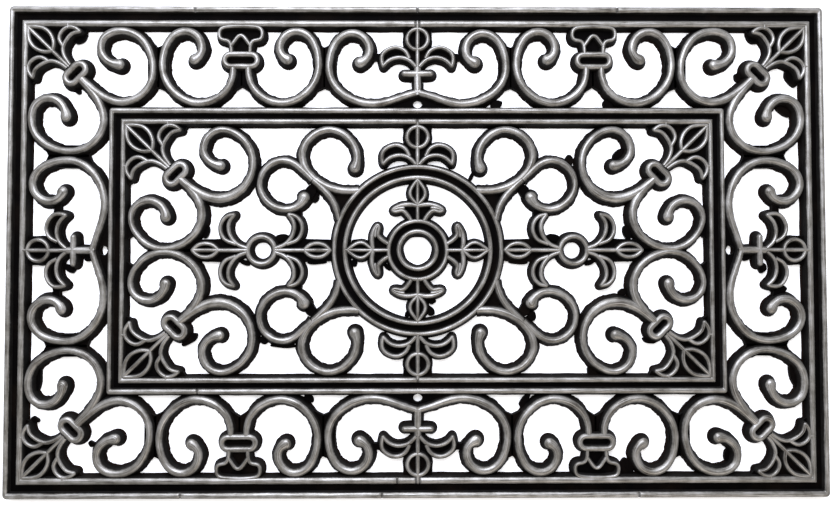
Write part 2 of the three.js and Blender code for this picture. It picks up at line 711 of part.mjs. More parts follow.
// A border fleur: head, cross bar and stem down to the peak of its scrolls.
function borderFleur(bandRule, bayLength, cutter) {
  const height = bandWidth * (1 - fleurRootShare);
  const spread = bayLength * fleurSpreadShare;
  const acrossUnit = (place) => {
    const [ax, ay] = place(0, 0);
    const [bx, by] = place(0, 1);
    return [(bx - ax) / bandWidth, (by - ay) / bandWidth];
  };
  const up = acrossUnit(bandRule);
  const side = [up[1], -up[0]];
  const root = bandRule(0, fleurRootShare);
  const at = (sign) => (u, v) => [
    root[0] + sign * u * spread * side[0] + v * height * up[0],
    root[1] + sign * u * spread * side[1] + v * height * up[1],
  ];
  const head = fleurHead(at(1), at(-1), 0, height / spread);
  const barCentre = bandRule(0, fleurBarShare);
  const barEnds = [-1, 1].map((sign) => [
    barCentre[0] + sign * fleurBarHalfLength * side[0],
    barCentre[1] + sign * fleurBarHalfLength * side[1],
    fleurBarHalfWidth,
  ]);
  const crossBar = bar(barEnds, {
    count: straightSections, flare: beadWallFlare, roundStart: true, roundEnd: true,
  });
  const stemEnds = [fleurStemFootShare, fleurRootShare].map((share) => [
    ...bandRule(0, share), fleurStemHalfWidth]);
  const stem = bar(stemEnds, { count: straightSections, flare: beadWallFlare });
  const tips = [at(1), at(-1)].map((place) => web(fleurTipWebShares, place));
  return inBand(join([head, crossBar, stem, ...tips])).subtract(cutter);
}

// A fleur between the medallion and the inner frame.
function medallionFleur() {
  const height = panelY - medallionRadius;
  const at = (sign) => (u, v) => [sign * u * height, medallionRadius + v * height];
  const overlapShare = 0.1;
  return inPanel(fleurHead(at(1), at(-1), overlapShare, 1));
}

// Rule that places the scrolls of the panel
const panelRule = (u, v) => [u * panelSpan - panelX, v * panelY];

// The two scrolls that spring from the collar in the panel's corner.
function panelScrolls() {
  const pieces = [
    scroll(panelTopScrollShares, panelRule),
    scroll(panelSideScrollShares, panelRule),
    web(curlTouchWebShares, panelRule),
  ];
  const [endX] = panelRule(smallCurlEndShare, 0);
  const room = slab(-matLength, endX - seam / 2, seam / 2, matWidth);
  return inPanel(join(pieces).intersect(room)).subtract(strapCore(collarLine(panelCollar), seam));
}

// The large curl beside the medallion and the arm that forks from it.
function bigCurlSolids(grow = 0) {
  const arm = bar(layOut(curlArmShares, panelRule), {
    count: armSections, flare: barWallFlare, grow,
  });
  return scroll(bigCurlShares, panelRule, grow).add(arm);
}

// The large curl with its webs.
function bigCurl() {
  return inPanel(bigCurlSolids().add(web(bigCurlWebShares, panelRule)));
}

// The small curl that rests against the large one.
function smallCurl() {
  const [endX] = panelRule(smallCurlEndShare, 0);
  const pieces = [
    scroll([...smallCurlShares].reverse(), panelRule),
    web(curlTouchWebShares, panelRule),
    web(smallCurlTipWebShares, panelRule),
  ];
  const room = slab(endX + seam / 2, matLength, 0, matWidth);
  return inPanel(join(pieces).intersect(room)).subtract(bigCurlSolids(seam));
}

// The roundel with its two leaves and four crescents, left of the medallion.
function roundel() {
  const reachX = panelSpan * roundelSpanShare;
  const reachY = panelY * roundelRiseShare;
  const centreX = -medallionRadius - reachX;
  const at = (sx, sy) => (u, v) => [centreX + sx * u * reachX, sy * v * reachY];
  const signs = [[1, 1], [1, -1], [-1, 1], [-1, -1]];
  const crescents = signs.flatMap(([sx, sy]) => [
    bead(roundelInnerShares, at(sx, sy), beadHalfWidth, { count: crescentSections, roundEnd: true }),
    bead(roundelOuterShares, at(sx, sy), beadHalfWidth, { count: crescentSections, roundEnd: true }),
    web(roundelWebShares, at(sx, sy)),
  ]);
  const touch = [1, -1].map((sy) => web(roundelTouchWebShares, at(1, sy)));
  const middle = (reachX * (1 + roundelLeafStartShare)) / 2;
  const halfLength = (reachX * (1 - roundelLeafStartShare)) / 2;
  const leaves = [1, -1].flatMap((sx) => [
    leafLoop(centreX + sx * middle, 0, 0, halfLength, roundelLeafHalfWidth),
    bead(roundelRibShares, at(sx, 1), beadHalfWidth, { count: straightSections }),
  ]);
  const ring = turnedRail(
    roundelRadius, roundelRailWidth, roundelRailShares, roundelWallFlare, roundelSegments,
  );
  const core = new THREE.CylinderGeometry(
    roundelRadius, roundelRadius, matHeight + 2 * cutterLift, roundelSegments,
  );
  const clear = solidFromGeometry(core.rotateX(Math.PI / 2).translate(centreX, 0, matHeight / 2));
  const cutters = [1, -1].map((sy) => mirrored(join([
    scroll(panelSideScrollShares, panelRule, seam),
    scroll(smallCurlShares, panelRule, seam),
  ]), 1, sy));
  const body = join([...crescents, ...touch, ...leaves]).subtract(clear)
    .add(moved(ring, centreX, 0));
  return inPanel(body).subtract(join(cutters));
}

// A pointed leaf outlined by a bead, lying along an angle.
function leafLoop(centreX, centreY, angle, halfLength, halfWidth) {
  const bulgeShares = [[1, 0], [0.6, 0.72], [0, 1], [-0.6, 0.72], [-1, 0]];
  const side = (sign) => bead(bulgeShares, (u, v) => {
    const along = u * (halfLength - beadHalfWidth);
    const across = sign * v * (halfWidth - beadHalfWidth);
    return [
      centreX + along * Math.cos(angle) - across * Math.sin(angle),
      centreY + along * Math.sin(angle) + across * Math.cos(angle),
    ];
  }, beadHalfWidth, { count: leafSections });
  return side(1).add(side(-1));
}

// The hub: a double ring with four leaves and eight horns inside the medallion.
function hub() {
  const open = medallionRadius - medallionRailWidth;
  const ring = turnedRail(hubRadius, hubRailWidth, hubRailShares, frameWallFlare, hubSegments);
  const core = new THREE.CylinderGeometry(
    hubRadius, hubRadius, matHeight + 2 * cutterLift, hubSegments,
  );
  const clear = solidFromGeometry(core.rotateX(Math.PI / 2).translate(0, 0, matHeight / 2));
  const arms = [0, 1, 2, 3].flatMap((quarter) => {
    const angle = (quarter * Math.PI) / 2;
    const at = (sign) => (u, v) => [
      open * (sign * u * Math.cos(angle) - v * Math.sin(angle)),
      open * (sign * u * Math.sin(angle) + v * Math.cos(angle)),
    ];
    const middle = (open * (1 + hubLeafStartShare)) / 2;
    const half = (open * (1 - hubLeafStartShare)) / 2 + beadHalfWidth;
    return [
      leafLoop(-middle * Math.sin(angle), middle * Math.cos(angle), angle + Math.PI / 2,
        half, open * hubLeafHalfWidthShare + beadHalfWidth),
      bead(hubRibShares, at(1), beadHalfWidth, { count: straightSections }),
      ...[at(1), at(-1)].flatMap((place) => [
        bead(hubHornShares, place, beadHalfWidth, { count: hornSections }),
        web(hubWebShares, place),
      ]),
    ];
  });
  return join(arms).intersect(medallionRoom).subtract(clear).add(ring);
}

// A copy of a solid whose corners are moved by a rule.
function remade(solid, rule) {
  const mesh = solid.getMesh();
  const corners = [];
  for (let i = 0; i < mesh.vertProperties.length; i += 3) {
    corners.push(...rule(...mesh.vertProperties.subarray(i, i + 3)));
  }
  return solidFromMesh(corners, Array.from(mesh.triVerts));
}

// A copy of a solid reflected in the middle lines, by signs for x and y.
function mirrored(solid, sx, sy) {
  return remade(solid, (x, y, z) => [sx * x, sy * y, z]);
}

// A copy of a solid moved on plan.
function moved(solid, stepX, stepY) {
  return remade(solid, (x, y, z) => [x + stepX, y + stepY, z]);
}

// Pewter-coloured finish rubbed over black rubber
const finish = { color: 0x8f8d88, roughness: 0.5, metalness: 0.35 };

const mat = new THREE.Group();

// Adds a solid to the mat as a named piece, with its flat faces merged.
function addPiece(name, solid) {
  const whole = remade(solid, (x, y, z) => [x, y, z]);
  const mesh = whole.simplify(mergeStep).getMesh();
  const geometry = new THREE.BufferGeometry();
  geometry.setAttribute('position', new THREE.BufferAttribute(mesh.vertProperties, mesh.numProp));
  geometry.setIndex(new THREE.BufferAttribute(mesh.triVerts, 1));
  geometry.computeVertexNormals();
  const piece = new THREE.Mesh(geometry, new THREE.MeshStandardMaterial(finish));
  piece.name = name;
  mat.add(piece);
}

const corners = [['nw', 1, 1], ['ne', -1, 1], ['sw', 1, -1], ['se', -1, -1]];

// Adds one copy of a solid from the upper left in each corner.
function addToCorners(name, solid) {
  corners.forEach(([place, sx, sy]) => addPiece(`${name}_${place}`, mirrored(solid, sx, sy)));
}

addPiece('outer_frame', frame(
  matLength / 2 - outerEdgeFlare, matWidth / 2 - outerEdgeFlare,
  endRailWidth - outerEdgeFlare, sideRailWidth - outerEdgeFlare, outerRailShares, outerEdgeFlare,
));
addPiece('inner_frame', frame(
  bandInnerX, bandInnerY, innerRailWidth, innerRailWidth, innerRailShares, frameWallFlare,
));
addPiece('medallion_ring', turnedRail(
  medallionRadius, medallionRailWidth, medallionRailShares, frameWallFlare, medallionSegments,
));
addPiece('hub_rosette', hub());

addToCorners('border_palmette', inBand(palmette(borderCollar, borderReach)));
addToCorners('border_corner_scrolls', cornerScrolls());
addToCorners('clasp', clasp());
addToCorners('clasp_scroll_outer', claspScroll(claspOuterRule, -cornerBayX, -claspX));
addToCorners('clasp_scroll_inner', claspScroll(claspInnerRule, -claspX, -fleurBayX));

const topRoom = slab(-fleurBayX + seam / 2, fleurBayX - seam / 2, 0, matWidth);
const topRules = [fleurTopRule, fleurTopFlip];
const topScrolls = fleurScrolls(topRules, topRoom);
const topFleur = borderFleur(fleurTopRule, fleurBayX, fleurScrollSolids(topRules, seam));
addPiece('fleur_north', topFleur);
addPiece('fleur_south', mirrored(topFleur, 1, -1));
addPiece('fleur_scrolls_north', topScrolls);
addPiece('fleur_scrolls_south', mirrored(topScrolls, 1, -1));

const endRoom = slab(-matLength, 0, -sideBayY + seam / 2, sideBayY - seam / 2);
const endRules = [fleurEndRule, fleurEndFlip];
const endScrolls = fleurScrolls(endRules, endRoom);
const endFleur = borderFleur(fleurEndRule, sideBayY, fleurScrollSolids(endRules, seam));
addPiece('fleur_west', endFleur);
addPiece('fleur_east', mirrored(endFleur, -1, 1));
addPiece('fleur_scrolls_west', endScrolls);
addPiece('fleur_scrolls_east', mirrored(endScrolls, -1, 1));

addToCorners('panel_palmette', inPanel(palmette(panelCollar, panelReach)));
addToCorners('panel_scrolls', panelScrolls());
addToCorners('big_curl', bigCurl());
addToCorners('small_curl', smallCurl());

const upperFleur = medallionFleur();
addPiece('medallion_fleur_north', upperFleur);
addPiece('medallion_fleur_south', mirrored(upperFleur, 1, -1));

const leftRoundel = roundel();
addPiece('roundel_west', leftRoundel);
addPiece('roundel_east', mirrored(leftRoundel, -1, 1));

export default mat;
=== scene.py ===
"""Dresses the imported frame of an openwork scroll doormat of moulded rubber.

The mat is one moulding: rounded bars and fine beads stand on flared walls, joined by low
webs, and a pewter-coloured finish is rubbed over everything that stands high. Each CAD
node is replaced by a relief of the same element, swept along the same lines.

Lengths are in millimetres in the row frame until a mesh is made, X along the mat, Y
across it and Z up. Tables of places hold shares of the bay that they lie in, and where
there is a third number it is the width against the usual one.
"""

import logging
import math
from dataclasses import dataclass, field, replace
from enum import Enum
from functools import partial
from typing import Callable, Iterable, Sequence

import bmesh
import bpy
import numpy as np
from mathutils import Euler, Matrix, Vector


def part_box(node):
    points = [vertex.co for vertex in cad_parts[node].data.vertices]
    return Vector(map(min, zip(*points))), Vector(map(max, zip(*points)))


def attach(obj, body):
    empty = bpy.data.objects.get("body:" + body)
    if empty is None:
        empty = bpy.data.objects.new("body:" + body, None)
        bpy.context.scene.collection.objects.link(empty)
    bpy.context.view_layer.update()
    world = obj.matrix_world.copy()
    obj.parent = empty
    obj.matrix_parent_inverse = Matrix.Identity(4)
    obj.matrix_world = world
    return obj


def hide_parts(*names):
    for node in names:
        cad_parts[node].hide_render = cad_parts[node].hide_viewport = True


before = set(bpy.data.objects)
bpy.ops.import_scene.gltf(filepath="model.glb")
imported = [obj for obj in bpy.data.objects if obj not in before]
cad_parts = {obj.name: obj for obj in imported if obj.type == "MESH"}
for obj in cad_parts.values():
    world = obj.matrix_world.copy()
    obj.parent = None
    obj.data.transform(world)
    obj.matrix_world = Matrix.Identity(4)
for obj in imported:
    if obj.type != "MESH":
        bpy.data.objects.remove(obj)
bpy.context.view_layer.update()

LOG = logging.getLogger("doormat")
MM = 0.001
TINY = 1e-9
BODY = "root"

Place = Sequence[float]
Point = tuple[float, float]
Row = tuple[float, float, float]
Rule = Callable[[float, float], Point]
Test = Callable[[float, float], bool]


class Corner(Enum):
    """A quarter of the mat, with the signs that mirror the upper left one into it."""

    NW = ("nw", 1, 1)
    NE = ("ne", -1, 1)
    SW = ("sw", 1, -1)
    SE = ("se", -1, -1)


class End(Enum):
    """How a swept bar ends."""

    FLAT = "flat"
    ROUND = "round"


def box_mm(node: str) -> tuple[np.ndarray, np.ndarray]:
    """Gives a node's lowest and highest corners in millimetres."""
    low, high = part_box(node)
    return np.array(low) / MM, np.array(high) / MM


@dataclass(frozen=True)
class Layout:
    """Where the frames, the bays and the medallion lie, worked out from the frame.

    Attributes:
        end_rail: The width of the outer frame's ends, at the top.
        side_rail: The width of its sides, at the top.
        inner_rail: The width of the inner frame, at the top.
        wall_flare: How far a wall spreads from its top to its foot.
        medallion_rail: The width of the medallion's ring, at the top.
        fleur_bay_share: Where the fleur's bay ends, against the corner's bay.
        clasp_share: Where a clasp stands, against the corner's bay.
        corner_bay_share: How far the corner's bay reaches in along a side, against the band.
        side_bay_share: How far it reaches in along an end, against the band.
    """

    end_rail: float = 17.5
    side_rail: float = 18.9
    inner_rail: float = 14.8
    wall_flare: float = 2.7
    medallion_rail: float = 14.0
    fleur_bay_share: float = 0.3598
    clasp_share: float = 0.6788
    corner_bay_share: float = 0.56
    side_bay_share: float = 0.5681

    @property
    def half(self) -> np.ndarray:
        """Half of the mat's length and width, and its height."""
        return box_mm("outer_frame")[1]

    @property
    def height(self) -> float:
        """The height of the highest beads."""
        return float(self.half[2])

    @property
    def band_outer(self) -> Point:
        """Half of the outer frame's opening, at the top of its walls."""
        return self.half[0] - self.end_rail, self.half[1] - self.side_rail

    @property
    def band_inner(self) -> Point:
        """Half of the inner frame's outside, at the top of its walls."""
        high = box_mm("inner_frame")[1]
        return high[0] - self.wall_flare, high[1] - self.wall_flare

    @property
    def band(self) -> float:
        """The width of the open band between the frames."""
        return self.band_outer[0] - self.band_inner[0]

    @property
    def panel(self) -> Point:
        """Half of the inner frame's opening."""
        return self.band_inner[0] - self.inner_rail, self.band_inner[1] - self.inner_rail

    @property
    def medallion(self) -> float:
        """The medallion's outer radius at the top."""
        return float(box_mm("medallion_ring")[1][0]) - self.wall_flare

    @property
    def panel_span(self) -> float:
        """The panel's clear run from its end to the medallion."""
        return self.panel[0] - self.medallion

    @property
    def fleur_bay(self) -> float:
        """Where the bay of the middle fleur ends on the long side."""
        return self.corner_bay * self.fleur_bay_share

    @property
    def clasp_x(self) -> float:
        """Where a clasp stands on the long side."""
        return self.corner_bay * self.clasp_share

    @property
    def corner_bay(self) -> float:
        """Where the corner's bay begins on the long side."""
        return self.band_inner[0] - self.band * self.corner_bay_share

    @property
    def side_bay(self) -> float:
        """Where the corner's bay begins on the short side."""
        return self.band_inner[1] - self.band * self.side_bay_share

    def panel_rule(self, u: float, v: float) -> Point:
        """Places a share of the panel, from its end and from its middle line."""
        return u * self.panel_span - self.panel[0], v * self.panel[1]

    def top_rule(self, start: float, span: float) -> Rule:
        """Gives the rule of a bay of the upper band, from its first X and signed length."""
        return lambda u, v: (start + u * span, self.band_inner[1] + v * self.band)

    def end_rule(self, start: float, span: float) -> Rule:
        """Gives the rule of a bay of the left band, from its first Y and signed length."""
        return lambda u, v: (-self.band_inner[0] - v * self.band, start + u * span)


LAYOUT = Layout()


@dataclass
class Line:
    """A smooth middle line with a width at each sample.

    Attributes:
        xy: The places of the samples.
        half_width: Half of the width at each.
        heading: The direction of the line at each.
        bend: How much the direction changes to the millimetre.
        along: The distance of each, with the whole length at the end of a closed line.
    """

    xy: np.ndarray
    half_width: np.ndarray
    heading: np.ndarray
    bend: np.ndarray
    along: np.ndarray


def eased(values: np.ndarray, step: float, wave: float) -> np.ndarray:
    """Takes short kinks out of evenly spaced samples and keeps the long curves.

    Args:
        values: The samples, one row each.
        step: Their spacing in millimetres.
        wave: Waves of this length are halved, and shorter ones go.

    Returns:
        The eased samples, with the ends where they were.
    """
    fewest, pinned, order = 8, 1e5, 3
    count = len(values)
    if count < fewest or wave <= 0:
        return values
    changes = np.diff(np.eye(count), n=order, axis=0)
    hold = np.ones(count)
    hold[[0, -1]] = pinned
    stiff = (wave / (2 * math.pi * step)) ** (2 * order)
    return np.linalg.solve(np.diag(hold) + stiff * changes.T @ changes, hold[:, None] * values)


def extended(rows: np.ndarray) -> np.ndarray:
    """Adds a row at each end, where an open run of rows would go on straight."""
    return np.vstack([2 * rows[0] - rows[1], rows, 2 * rows[-1] - rows[-2]])


def lengths_round(points: np.ndarray) -> np.ndarray:
    """Gives the distance of each point along a closed run, and the whole length."""
    steps = np.linalg.norm(np.diff(points, axis=0, append=points[:1]), axis=1)
    return np.concatenate([[0], np.cumsum(steps)])


def smooth_line(
    places: Iterable[Place], step: float, closed: bool = False, wave: float = 0.0
) -> Line:
    """Draws a centripetal curve through places and samples it evenly.

    Args:
        places: Rows of x, y and half width in millimetres.
        step: The spacing of the samples.
        closed: Whether the curve runs back into its beginning.
        wave: The length of kinks that are eased away, or zero for none.

    Returns:
        The sampled line, with its heading and its bend.
    """
    samples, window = 40, 5
    points = np.array([list(row) for row in places], float)
    knots = np.vstack([points[-1], points, points[:2]]) if closed else extended(points)
    gaps = np.maximum(np.linalg.norm(np.diff(knots[:, :2], axis=0), axis=1), TINY) ** 0.5
    share = np.linspace(0, 1, samples, endpoint=False)[:, None]
    rows = []
    for i in range(1, len(knots) - 2):
        before, here, after, beyond = knots[i - 1 : i + 3]
        a, b, c = gaps[i - 1 : i + 2]
        leave = ((here - before) / a - (after - before) / (a + b) + (after - here) / b) * b
        arrive = ((after - here) / b - (beyond - here) / (b + c) + (beyond - after) / c) * b
        square = -3 * here + 3 * after - 2 * leave - arrive
        cube = 2 * here - 2 * after + leave + arrive
        rows.append(here + leave * share + square * share**2 + cube * share**3)
    dense = np.vstack([*rows, knots[-2][None, :]])
    steps = np.linalg.norm(np.diff(dense[:, :2], axis=0), axis=1)
    lengths = np.concatenate([[0], np.cumsum(steps)])
    count = max(2, int(round(lengths[-1] / step)))
    marks = np.linspace(0, lengths[-1], count + 1)
    even = np.stack([np.interp(marks, lengths, dense[:, k]) for k in range(3)], axis=1)
    if closed:
        around = np.vstack([even[-2], even, even[1]])
    else:
        even = eased(even, marks[1], wave)
        around = extended(even)
    run = around[2:, :2] - around[:-2, :2]
    heading = np.unwrap(np.arctan2(run[:, 1], run[:, 0]))
    bend = np.pad(np.gradient(heading, marks), window // 2, mode="edge")
    bend = np.convolve(bend, np.ones(window) / window, mode="valid")
    last = -1 if closed else None
    return Line(even[:last, :2], even[:last, 2], heading[:last], bend[:last], marks)


def wander(along: np.ndarray, seed: float, pitch: float) -> np.ndarray:
    """Gives a smooth irregular run of values between about -1 and 1.

    Args:
        along: Distances in millimetres.
        seed: Any number; the same one gives the same run.
        pitch: The usual length of a wave in millimetres.

    Returns:
        One value for each distance.
    """
    turn = 2 * math.pi * along / pitch
    waves = ((1.0, 0.45), (1.73, 0.32), (0.41, 0.25), (3.1, 0.22), (5.3, 0.16))
    first, more = 7.3, 5.1
    return sum(
        size * np.sin(rate * turn + seed * (first + more * k))
        for k, (rate, size) in enumerate(waves)
    )


@dataclass(frozen=True)
class Section:
    """The cross-section of a bar or bead: a rounded top on flared walls.

    Attributes:
        height: Where the crest lies.
        drop: How far the top falls from the crest to its shoulders.
        flare: How far each wall spreads from the shoulder to the foot.
        roundness: The power of the curve of the top.
        ragged: How much the foot's edge wanders.
        wave: The length of kinks that are eased out of its line.
        shares: Where the top has edges, from the shoulder in, as shares of its half width.
        wall: Where the wall has edges, as shares of the flare and of the shoulder's height.
        pitches: The lengths of the waves in which the left and the right foot wander.
        tightest: How much of the radius of a bend its inner side may fill.
        knob_length: How far back from its end a bar swells into a knob.
        fade: How far from its seam a closed bar's foot begins to wander.
    """

    height: float = 10.0
    drop: float = 2.6
    flare: float = 3.2
    roundness: float = 2.3
    ragged: float = 0.5
    wave: float = 32.0
    shares: tuple[float, ...] = (1.0, 0.93, 0.8, 0.6, 0.35, 0.12)
    wall: tuple[Point, ...] = ((1.0, 0.0), (0.62, 0.3), (0.22, 0.74))
    pitches: Point = (17.0, 13.0)
    tightest: float = 0.93
    knob_length: float = 4.4
    fade: float = 8.0

    def half(self) -> list[Row]:
        """Gives half of the section, from the foot up to the last edge before the crest.

        Returns:
            Rows of the share of the half width, extra width and height.
        """
        shoulder = self.height - self.drop
        rows = [(1.0, self.flare * out, shoulder * up) for out, up in self.wall]
        curve = [(share, self.drop * share**self.roundness) for share in self.shares]
        return rows + [(share, 0.0, self.height - fall) for share, fall in curve]

    def rough(self, line: Line, closed: bool) -> dict[int, np.ndarray]:
        """Gives how far the foot wanders at each sample of a line.

        Args:
            line: The middle line of the bar.
            closed: Whether it runs back into itself.

        Returns:
            The distances by the sign of the side, 1 on the left.
        """
        marks = line.along[: len(line.xy)]
        seed = float(line.xy[0].sum())
        rough = {
            1: self.ragged * wander(marks, seed, self.pitches[0]),
            -1: self.ragged * wander(marks, seed + 2.0, self.pitches[1]),
        }
        if closed:
            still = np.minimum(1.0, np.minimum(marks, line.along[-1] - marks) / self.fade)
            rough = {sign: value * still for sign, value in rough.items()}
        return rough


BAR = Section()
KNOB = 1.4
BEAD = Section(
    drop=1.6, flare=2.6, roundness=2.1, ragged=0.2, wave=9.0, shares=(1.0, 0.9, 0.66, 0.33)
)
BEAD_STEP = 1.2
BAR_STEP = 1.5
CROSSBAR = Section(drop=2.2, flare=3.4, ragged=0.3, wave=0.0)
COLLAR = Section(drop=2.0, flare=2.7, ragged=0.2, wave=0.0, shares=(1.0, 0.92, 0.72, 0.4))
# Where a plate's side bends, as shares of its height and of its spread.
PLATE_SIDE = ((0.0, 1.0), (0.82, 0.25), (1.0, 0.0))
# How far the flow map moves when a relief is reflected in each middle line.
FLOW_SHIFT = (130.0, 310.0)


@dataclass
class Relief:
    """Points and faces of one moulded piece, in millimetres, with a flow map.

    The flow map runs along each bar and across it, so that the finish can be streaked
    the way it was rubbed on.

    Attributes:
        points: The places of its points.
        faces: The numbers of each face's points.
        flow: The places of each face's corners on the flow map.
        starts: The number of the first point of each bar, plate or loft.
    """

    points: list[Row] = field(default_factory=list)
    faces: list[tuple[int, ...]] = field(default_factory=list)
    flow: list[tuple[Point, ...]] = field(default_factory=list)
    starts: list[int] = field(default_factory=list)

    def add_face(self, corners: Sequence[int], flow: Sequence[Point]) -> None:
        """Adds one face with its place on the flow map."""
        self.faces.append(tuple(corners))
        self.flow.append(tuple(flow))

    def add_shape(self, points: Iterable[Row]) -> int:
        """Adds the points of a new shape.

        Args:
            points: The points, in order.

        Returns:
            The number of the first point.
        """
        self.starts.append(len(self.points))
        self.points.extend(points)
        return self.starts[-1]

    def add_tube(self, rings: np.ndarray, along: np.ndarray, closed: bool) -> int:
        """Joins rings that stand across a bar.

        Args:
            rings: Rings by points by coordinates.
            along: The distance of each ring, with one more where the tube is closed.
            closed: Whether the last ring joins the first.

        Returns:
            The number of the first point.
        """
        base = self.add_shape(map(tuple, rings.reshape(-1, 3)))
        across = lengths_round(rings[0])
        count, size = rings.shape[:2]
        for i in range(count if closed else count - 1):
            for j in range(size):
                steps = ((i, j), (i + 1, j), (i + 1, j + 1), (i, j + 1))
                corners = [base + a % count * size + b % size for a, b in steps]
                self.add_face(corners, [(along[a], across[b]) for a, b in steps])
        return base

    def add_loft(self, rings: np.ndarray) -> None:
        """Joins rings that run along a closed bar, and the last ring to the first.

        Args:
            rings: Rings by points by coordinates.
        """
        base = self.add_shape(map(tuple, rings.reshape(-1, 3)))
        along, across = lengths_round(rings[0]), lengths_round(rings[:, 0])
        count, size = rings.shape[:2]
        for i in range(count):
            for j in range(size):
                steps = ((i, j), (i, j + 1), (i + 1, j + 1), (i + 1, j))
                corners = [base + a % count * size + b % size for a, b in steps]
                self.add_face(corners, [(along[b], across[a]) for a, b in steps])

    def add_sweep(
        self,
        places: Iterable[Place],
        section: Section,
        start: End = End.FLAT,
        stop: End = End.ROUND,
        closed: bool = False,
        step: float = BAR_STEP,
        knob: float = 1.0,
    ) -> None:
        """Sweeps a section along places.

        Args:
            places: Rows of x, y and half width.
            section: The cross-section.
            start: How the bar begins.
            stop: How it ends.
            closed: Whether it runs back into itself.
            step: The spacing of the rings.
            knob: How much wider its far end swells.
        """
        line = smooth_line(places, step, closed, section.wave)
        if knob != 1.0:
            left = line.along[-1] - line.along
            swell = np.exp(-((left / section.knob_length) ** 2))
            line.half_width = line.half_width * (1 + (knob - 1) * swell)
        half = section.half()
        rows = [(*row, 1) for row in half] + [(0.0, 0.0, section.height, 1)]
        rows += [(*row, -1) for row in reversed(half)]
        rough = section.rough(line, closed)
        normal = np.stack([-np.sin(line.heading), np.cos(line.heading)], axis=1)
        most = section.tightest / np.maximum(np.abs(line.bend), TINY)
        rings = np.zeros((len(line.xy), len(rows), 3))
        for j, (share, extra, z, sign) in enumerate(rows):
            low = 1.0 - z / section.height
            reach = share * line.half_width + extra + rough[sign] * low
            reach = np.where(sign * line.bend > 0, np.minimum(reach, most), reach)
            rings[:, j, :2] = line.xy + sign * reach[:, None] * normal
            rings[:, j, 2] = z
        base = self.add_tube(rings, line.along, closed)
        if closed:
            return
        last = len(line.xy) - 1
        for end, row, direction in ((start, 0, -1), (stop, last, 1)):
            first = base + row * len(rows)
            if end is End.FLAT:
                self.add_face([first + j for j in range(len(rows))], [(0.0, 0.0)] * len(rows))
            else:
                self.add_round_end(first, line, row, rings[row], direction)

    def add_round_end(
        self, first: int, line: Line, row: int, ring: np.ndarray, direction: int
    ) -> None:
        """Closes a bar with half of a turned knob.

        Args:
            first: The number of the end ring's first point.
            line: The bar's middle line.
            row: Which sample the end ring stands on.
            ring: The end ring's points.
            direction: 1 at the far end and -1 at the beginning.
        """
        turns, flow_step = 10, 0.5
        size, crest = len(ring), len(ring) // 2
        centre = line.xy[row]
        reach = np.hypot(ring[:, 0] - centre[0], ring[:, 1] - centre[1])
        heading = line.heading[row] + (0 if direction > 0 else math.pi)
        left = [k if direction > 0 else size - 1 - k for k in range(crest)]
        right = [size - 1 - k for k in left]
        previous = [first + k for k in left]
        foot = [previous[0]]
        length = line.along[-1] if direction > 0 else 0.0
        for i in range(1, turns + 1):
            angle = heading + math.pi / 2 - math.pi * i / turns
            mix = i / turns
            current = [first + k for k in right]
            if i < turns:
                current = [len(self.points) + k for k in range(crest)]
                for a, b in zip(left, right):
                    far = (1 - mix) * reach[a] + mix * reach[b]
                    x, y = centre[0] + far * math.cos(angle), centre[1] + far * math.sin(angle)
                    self.points.append((x, y, float(ring[a][2])))
            flow = [(length + i * flow_step, float(k)) for k in range(crest + 1)]
            for k in range(crest - 1):
                corners = (previous[k], current[k], current[k + 1], previous[k + 1])
                self.add_face(corners, (flow[k], flow[k], flow[k + 1], flow[k + 1]))
            corners = (previous[crest - 1], current[crest - 1], first + crest)
            self.add_face(corners, (flow[crest - 1], flow[crest - 1], flow[crest]))
            foot.append(current[0])
            previous = current
        self.add_face(foot, [(length, 0.0)] * len(foot))

    def add_plate(self, outline: Iterable[Place], height: float, slope: float = 0.6) -> None:
        """Adds a level plate that stands on the floor, with sides that spread a little.

        Args:
            outline: The corners of its top, in order.
            height: The height of its top.
            slope: How far its sides spread at the foot.
        """
        top = softened(np.array([list(row)[:2] for row in outline], float))
        x, y = top.T
        area = 0.5 * float(np.sum(x * np.roll(y, -1) - np.roll(x, -1) * y))
        ahead = np.roll(top, -1, axis=0) - np.roll(top, 1, axis=0)
        outward = np.stack([ahead[:, 1], -ahead[:, 0]], axis=1) * math.copysign(1.0, area)
        outward /= np.maximum(np.linalg.norm(outward, axis=1, keepdims=True), TINY)
        levels = [(height * up, slope * out) for up, out in PLATE_SIDE]
        count = len(top)
        edges = [(top + outward * out, z) for z, out in levels]
        base = self.add_shape((float(a), float(b), z) for edge, z in edges for a, b in edge)
        floors = [base + level * count for level in range(len(levels))]
        faces = [
            (here + j, here + (j + 1) % count, above + (j + 1) % count, above + j)
            for here, above in zip(floors, floors[1:])
            for j in range(count)
        ]
        faces += [range(floor, floor + count) for floor in (floors[0], floors[-1])]
        for corners in faces:
            self.add_face(corners, [self.points[c][:2] for c in corners])

    def mirrored(self, sx: int, sy: int) -> "Relief":
        """Reflects the relief in the middle lines of the mat.

        Args:
            sx: The sign for x.
            sy: The sign for y.

        Returns:
            The copy, with the flow map moved so that it is streaked otherwise.
        """
        points = [(sx * x, sy * y, z) for x, y, z in self.points]
        shift = FLOW_SHIFT[0] * (1 - sx) + FLOW_SHIFT[1] * (1 - sy)
        flow = [tuple((u + shift, v) for u, v in corners) for corners in self.flow]
        return Relief(points, list(self.faces), flow, list(self.starts))

